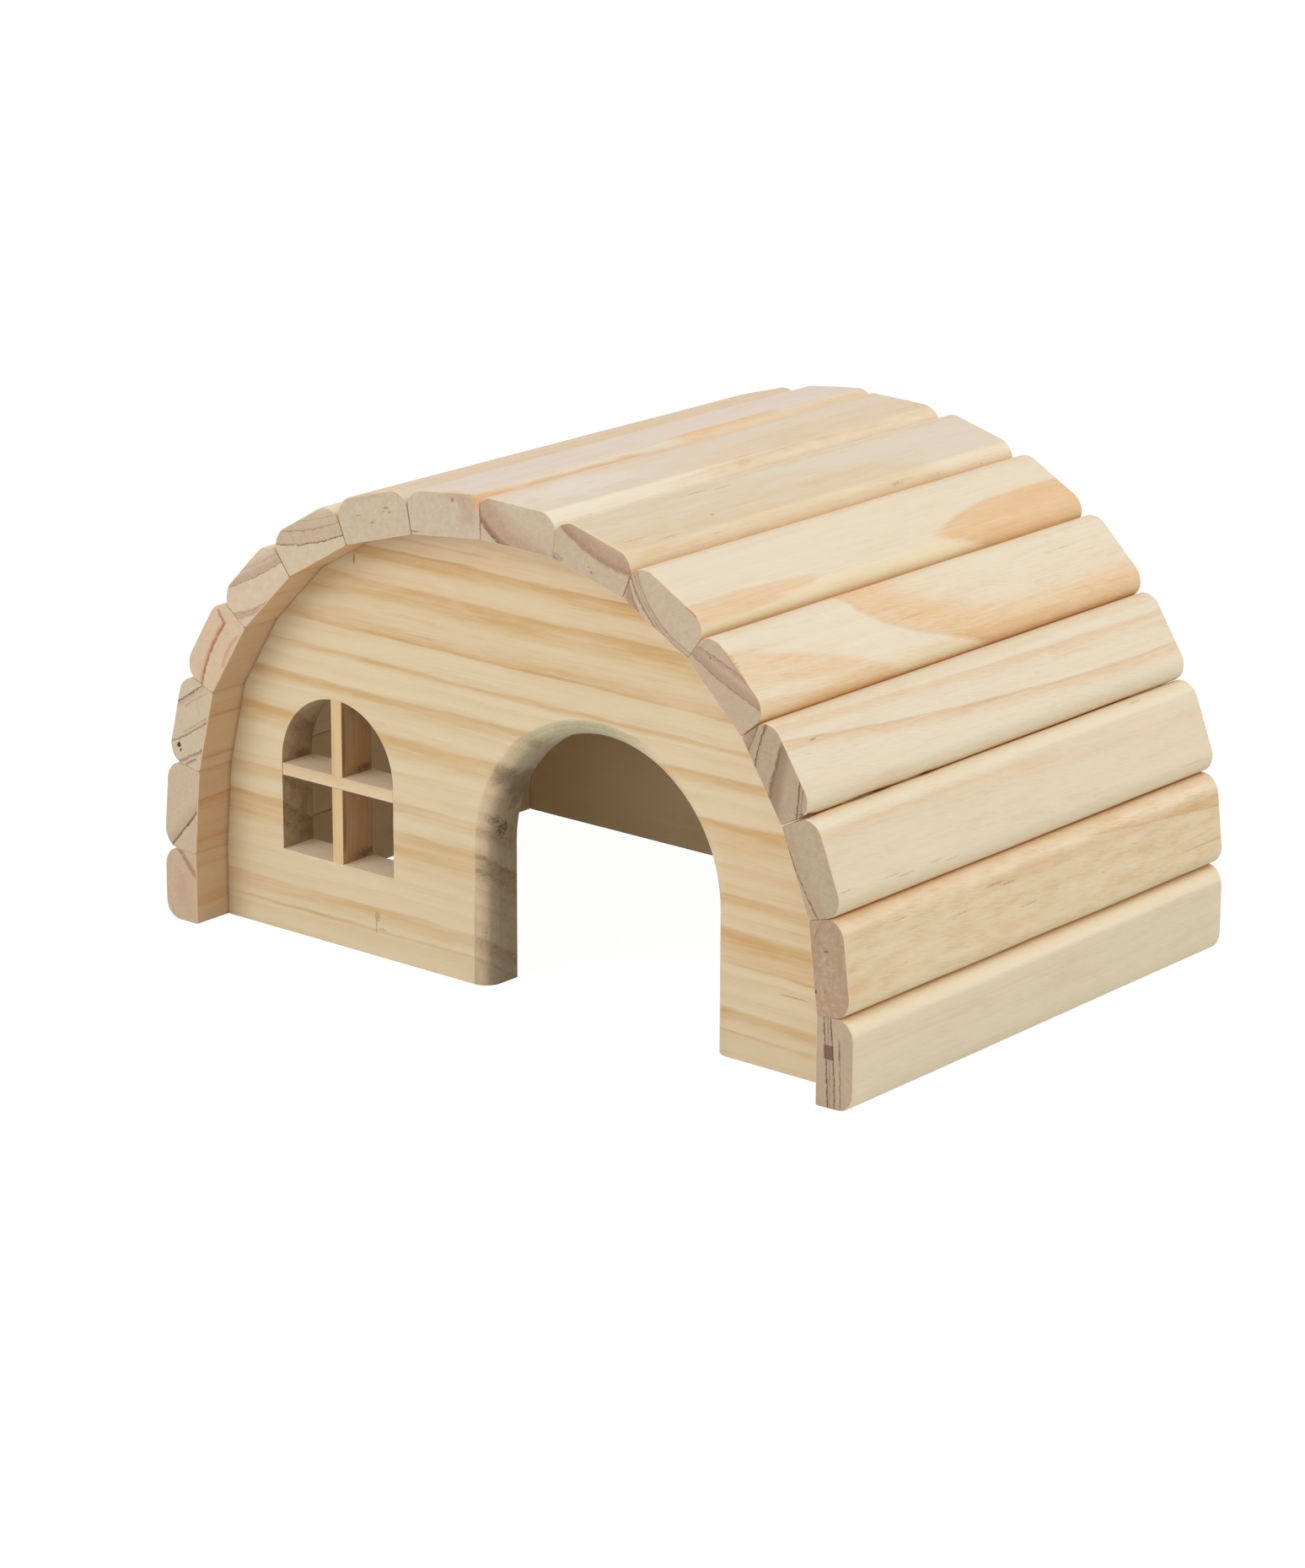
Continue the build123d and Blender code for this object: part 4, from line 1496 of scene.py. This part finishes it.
@dataclass
class EndWall:
    """One end wall: a board of level grain, with streaks that run its whole width."""

    node_name: str
    inward: float  # 1 where its depth runs towards +Y, as the front wall's does, and else -1
    edge_ease: float = 0.3 * MM
    seed: float = 31.0
    flecks: tuple[Fleck, ...] = ()
    warm_cuts: Spot | None = None
    sanded: Spot | None = None
    timber: Timber = Timber(
        pale=srgb(222, 203, 168),
        late=srgb(206, 168, 114),
        line=srgb(186, 140, 86),
        end=srgb(184, 167, 138),
        end_late=srgb(146, 120, 90),
        end_line=srgb(84, 62, 44),
        inside=srgb(255, 229, 186),
    )

    def build(self) -> bpy.types.Object:
        """Dress the wall's CAD piece.

        Returns:
            The dressed piece.
        """
        low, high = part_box(self.node_name)
        outer_y = low[1] if self.inward > 0 else high[1]
        finish = WallFinish(
            name=f"{self.node_name} pine",
            axes=BoardAxes((0, outer_y, 0), (0, 0, 1), (self.inward, 0, 0), (0, self.inward, 0)),
            length=(high[0] - low[0]) / MM,
            timber=self.timber,
            growth=WALL_GROWTH,
            flecks=self.flecks,
            seed=self.seed,
            figure=0.18,
            mottle=0.08,
            cloud=0.32,
            canals=0.20,
            fuzz=0.40,
            strokes=0.10,
            slant=0.0,
            patchy=0.9,
            sway=2.4,
            ripple=1.1,
            warm_cuts=self.warm_cuts,
            sanded=self.sanded,
        )
        return dress(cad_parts[self.node_name], finish, self.edge_ease)


WALL_GROWTH: tuple[GrowthStreak, ...] = (  # from the top of a wall to its foot, then two at its right end
    GrowthStreak(101.0, fade=-46.0, strength=0.2, crisp=2.0),
    GrowthStreak(94.4, wander=-0.8, fade=-1.2, strength=0.4, edge=0.1, lean=-0.5, ends=(-40.0, -8.0)),
    GrowthStreak(90.2, wander=-1.4, bow=1.3, fade=-3.9, strength=0.95, edge=0.3, lean=-0.5, crisp=0.8),
    GrowthStreak(84.0, wander=-0.8, bow=-0.6, fade=-7.5, strength=0.68, edge=0.06, lean=-0.5, crisp=1.2),
    GrowthStreak(71.7, wander=-0.6, bow=-0.3, fade=4.6, strength=0.6, edge=0.25, lean=-0.5, crisp=0.8),
    GrowthStreak(66.4, wander=-0.4, bow=-0.8, fade=-1.6, edge=0.12, lean=-0.5, crisp=0.8),
    GrowthStreak(59.2, wander=0.6, bow=-1.4, fade=-3.4, strength=0.75, edge=0.18, lean=-0.55, crisp=1.4),
    GrowthStreak(50.4, wander=-0.2, bow=-0.6, fade=-6.2, strength=0.72, edge=0.04, lean=-0.6, crisp=1.2),
    GrowthStreak(36.0, wander=-1.4, fade=-3.6, edge=0.16, lean=-0.6, crisp=1.6),
    GrowthStreak(29.4, wander=-2.2, bow=0.2, fade=-9.5, strength=0.68, edge=0.05, lean=-0.6, crisp=0.9),
    GrowthStreak(11.2, wander=-1.2, fade=-4.4, edge=0.08, lean=-0.6, crisp=1.0),
    GrowthStreak(6.3, wander=-0.6, fade=-1.1, strength=0.4, edge=0.12, lean=-0.6),
    GrowthStreak(21.0, wander=-0.8, fade=-0.9, strength=0.4, edge=0.1, lean=-0.6, ends=(56.0, 85.0)),
    GrowthStreak(48.0, fade=-36.0, strength=0.26, ends=(52.0, 90.0), crisp=8.0),
)

FRONT_FLECKS: tuple[Fleck, ...] = (  # on the front wall's face, then in its window and its door
    Fleck((8.9, -41.0, 0.0), (1.1, 0.8, 1.0), 0.5, 1.2, SCORCH),
    Fleck((7.0, -41.3, 0.0), (1.9, 0.25, 1.0), 0.5, 1.0, SCORCH),
    Fleck((6.4, -39.6, 0.0), (0.3, 1.2, 1.0), 0.4, 1.0, SCORCH),
    Fleck((16.6, 72.0, 0.0), (0.18, 4.0, 1.0), 0.4),
    Fleck((87.1, -46.4, 0.0), (1.3, 0.22, 1.2), 0.8, 0.4, srgb(140, 104, 66)),
    Fleck((20.6, -68.5, 6.6), (1.4, 1.0, 3.2), 0.4, 2.4, srgb(104, 74, 48), soft=0.9),
    Fleck((38.8, -68.5, 6.2), (1.4, 1.0, 3.4), 0.45, 2.4, srgb(112, 80, 52), soft=0.9),
    Fleck((44.0, -68.5, 2.4), (0.5, 1.0, 0.6), 0.4, 1.4, srgb(84, 62, 42)),
    # Painted shade: two soft dark patches on the window's left side.
    Fleck((32.0, -68.5, 3.4), (3.6, 1.0, 1.6), 0.35, 1.8, JAMB_SHADE, soft=0.9),
    Fleck((26.4, -68.5, 6.4), (3.4, 1.0, 1.6), 0.35, 1.8, JAMB_SHADE, soft=0.9),
    Fleck((36.8, -10.8, 2.4), (1.6, 2.4, 1.6), 0.6, 3.0, srgb(104, 76, 52), soft=0.5),
    Fleck((34.4, -9.8, 4.4), (2.0, 1.5, 1.8), 0.75, 3.2, srgb(80, 60, 42), soft=0.4),
    Fleck((44.6, -6.6, 6.8), (7.6, 4.4, 4.4), 0.85, 1.2, srgb(128, 110, 82), soft=0.7),
    Fleck((42.2, -10.2, 3.2), (2.6, 1.6, 1.8), 0.5, 3.0, srgb(84, 66, 48), soft=0.5),
    Fleck((8.6, -9.6, 5.6), (3.8, 1.6, 3.0), 0.3, 2.4, srgb(196, 172, 146), soft=0.8),
    Fleck((5.0, -11.4, 2.2), (4.4, 1.6, 1.2), 0.4, 2.4, UMBER, soft=0.7),
    Fleck((11.4, -11.8, 1.4), (2.4, 1.6, 0.9), 0.35, 2.4, UMBER, soft=0.7),
    Fleck((55.2, 3.0, 1.2), (1.8, 3.0, 2.2), 0.55, 1.6, srgb(150, 118, 92), soft=0.8),
    Fleck((47.6, -5.6, 1.8), (3.8, 3.4, 2.6), 0.65, 1.8, srgb(120, 98, 74), soft=0.8),
)


@dataclass
class WindowBars:
    """The two thin bars that cross in the window."""

    edge_ease: float = 0.25 * MM
    bar_brown: Colour = srgb(84, 60, 40)  # dark brown in the upright bar's corners and in two thin lines along its side

    def build(self) -> list[bpy.types.Object]:
        """Dress both bars.

        Returns:
            The upright bar and the level one.
        """
        across, up, out, back = (1, 0, 0), (0, 0, 1), (0, -1, 0), (0, 1, 0)
        bar_marks = (
            Fleck((1.4, -16.8, -2.6), (1.2, 1.2, 3.4), 0.55, 2.6, self.bar_brown, soft=0.8),
            Fleck((1.4, 2.2, -2.4), (1.2, 0.9, 3.0), 0.55, 2.6, self.bar_brown, soft=0.8),
            Fleck((1.4, 9.0, 4.0), (1.0, 8.0, 0.5), 0.45, 0.8, self.bar_brown),
            Fleck((1.4, -9.0, 4.0), (1.0, 8.0, 0.5), 0.45, 0.8, self.bar_brown),
        )
        # The upright bar's sides are painted darker, as shade.
        pale, side = srgb(220, 189, 140), srgb(190, 150, 106)
        upright = self._dress("window_mullion", (across, up, out), pale, side, 41.0, bar_marks)
        # The level bar's top and bottom are painted lighter, as light.
        pale, side = srgb(222, 200, 165), srgb(255, 234, 204)
        level = self._dress("window_transom", (up, across, back), pale, side, 43.0)
        return [upright, level]

    def _dress(
        self,
        node_name: str,
        directions: tuple[Point, Point, Point],
        pale: Colour,
        side: Colour,
        seed: float,
        flecks: tuple[Fleck, ...] = (),
    ) -> bpy.types.Object:
        """Give one bar its finish.

        Args:
            node_name: the CAD piece.
            directions: its directions across, along and deep; its grain runs along its longest side.
            pale: colour of its early wood.
            side: colour of its sides, painted darker as shade on the upright bar and lighter as light on the
                level one.
            seed: picks its own noise.
            flecks: marks on it, measured from its middle.

        Returns:
            The dressed piece.
        """
        low, high = (np.array(corner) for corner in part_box(node_name))
        finish = BarFinish(
            name=f"{node_name} pine",
            axes=BoardAxes(tuple((low + high) / 2), *directions),
            length=float((high - low).max()) / MM,
            timber=Timber(pale=pale, late=srgb(208, 164, 112), end=srgb(190, 165, 130)),
            flecks=flecks,
            seed=seed,
            figure=0.35,
            mottle=0.15,
            strokes=0.1,
            slant=0.0,
            side=side,
        )
        return dress(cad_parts[node_name], finish, self.edge_ease)


# ------------------------------------------------------------------ stage, light and camera


@dataclass
class Studio:
    """A pale floor, a white background, soft lamps and the camera."""

    azimuth: float = 39.658
    elevation: float = 17.104
    roll: float = 0.225
    focal: float = 5800.1  # in pixels of a picture 1860 pixels high
    picture_height: float = 1860.0
    position: Point = (0.637105, -0.780989, 0.344083)
    floor_size: float = 6.0
    world_light: float = 0.54
    aim: Point = (0.0, 0.0, 0.05)  # where the lamps point

    def build(self) -> None:
        """Set the stage."""
        self._floor()
        self._world()
        self._lamp("key_lamp", at=(0.8, 0.35, 1.1), size=0.9, power=8.6)
        self._lamp("front_lamp", at=(-0.4, -1.1, 0.5), size=0.9, power=6.2)
        self._camera()
        bpy.context.scene.view_settings.view_transform = "Standard"

    def _floor(self) -> None:
        """Lay the pale floor: plain to the light, near white to the eye, with a trace of shadow."""
        half = self.floor_size / 2
        mesh = bpy.data.meshes.new("floor")
        corners = [(-half, -half, 0), (half, -half, 0), (half, half, 0), (-half, half, 0)]
        mesh.from_pydata(corners, [], [(0, 1, 2, 3)])
        floor = bpy.data.objects.new("floor", mesh)
        bpy.context.scene.collection.objects.link(floor)
        graph = Graph(bpy.data.materials.new("pale floor"))
        plain = graph.node("BsdfDiffuse", {}, {"Color": (0.84, 0.83, 0.81)})
        faint = graph.node("BsdfDiffuse", {}, {"Color": (0.12, 0.12, 0.12)})
        white = graph.node("Emission", {}, {"Color": (1.0, 1.0, 1.0), "Strength": 0.97})
        seen = graph.node("AddShader", {}, {0: faint, 1: white})
        surface = graph.node("MixShader", {}, {0: self._eye(graph), 1: plain, 2: seen})
        graph.finish("OutputMaterial", {0: surface})
        mesh.materials.append(graph.owner)

    @staticmethod
    def _eye(graph: Graph) -> Signal:
        """Return 1 for rays that show the background: the camera's, and those seen in gloss or glass."""
        path = graph.node("LightPath").socket.node.outputs
        camera, glossy, through = (
            Signal(graph, path[name]) for name in ("Is Camera Ray", "Is Glossy Ray", "Is Transmission Ray")
        )
        return camera.most(glossy).most(through)

    def _world(self) -> None:
        """Light the scene evenly, with a white background."""
        world = bpy.data.worlds.new("studio")
        bpy.context.scene.world = world
        graph = Graph(world)
        strength = self._eye(graph).between(self.world_light, 1.0)
        back = graph.node("Background", {}, {"Color": (1.0, 1.0, 1.0), "Strength": strength})
        graph.finish("OutputWorld", {"Surface": back})

    def _lamp(self, name: str, at: Point, size: float, power: float) -> None:
        """Hang one square soft lamp that faces the house."""
        data = bpy.data.lights.new(name, "AREA")
        data.size = size
        data.energy = power
        lamp = bpy.data.objects.new(name, data)
        lamp.location = at
        lamp.rotation_euler = (Vector(at) - Vector(self.aim)).to_track_quat("Z", "Y").to_euler()
        bpy.context.scene.collection.objects.link(lamp)

    def _camera(self) -> None:
        """Set the camera at its place, turned by its azimuth, elevation and roll."""
        data = bpy.data.cameras.new("camera")
        data.sensor_fit = "VERTICAL"
        data.sensor_height = 36.0
        data.lens = self.focal * data.sensor_height / self.picture_height
        data.clip_end = 20.0
        azimuth, elevation, roll = map(math.radians, (self.azimuth, self.elevation, self.roll))
        level = math.cos(elevation)
        back = Vector((math.sin(azimuth) * level, -math.cos(azimuth) * level, math.sin(elevation)))
        right = Vector((math.cos(azimuth), math.sin(azimuth), 0.0))
        up = back.cross(right)
        tilted_right = right * math.cos(roll) + up * math.sin(roll)
        tilted_up = up * math.cos(roll) - right * math.sin(roll)
        turn = Matrix((tilted_right, tilted_up, back)).transposed().to_4x4()
        camera = bpy.data.objects.new("camera", data)
        camera.matrix_world = Matrix.Translation(self.position) @ turn
        bpy.context.scene.collection.objects.link(camera)
        bpy.context.scene.camera = camera


def main() -> None:
    """Build every piece in order."""
    logging.basicConfig(level=logging.INFO, format="%(message)s")
    pieces = ArchRoof().build()
    front_wall = EndWall(
        "front_wall", 1.0, flecks=FRONT_FLECKS, warm_cuts=(-69.0, -35.0), sanded=(22.0, 40.0)
    )
    pieces.append(front_wall.build())
    pieces.append(EndWall("back_wall", -1.0, seed=37.0).build())
    pieces += WindowBars().build()
    for piece in pieces:
        log.info("%s: %d faces", piece.name, len(piece.data.polygons))
    Studio().build()


if __name__ == "__main__":
    main()
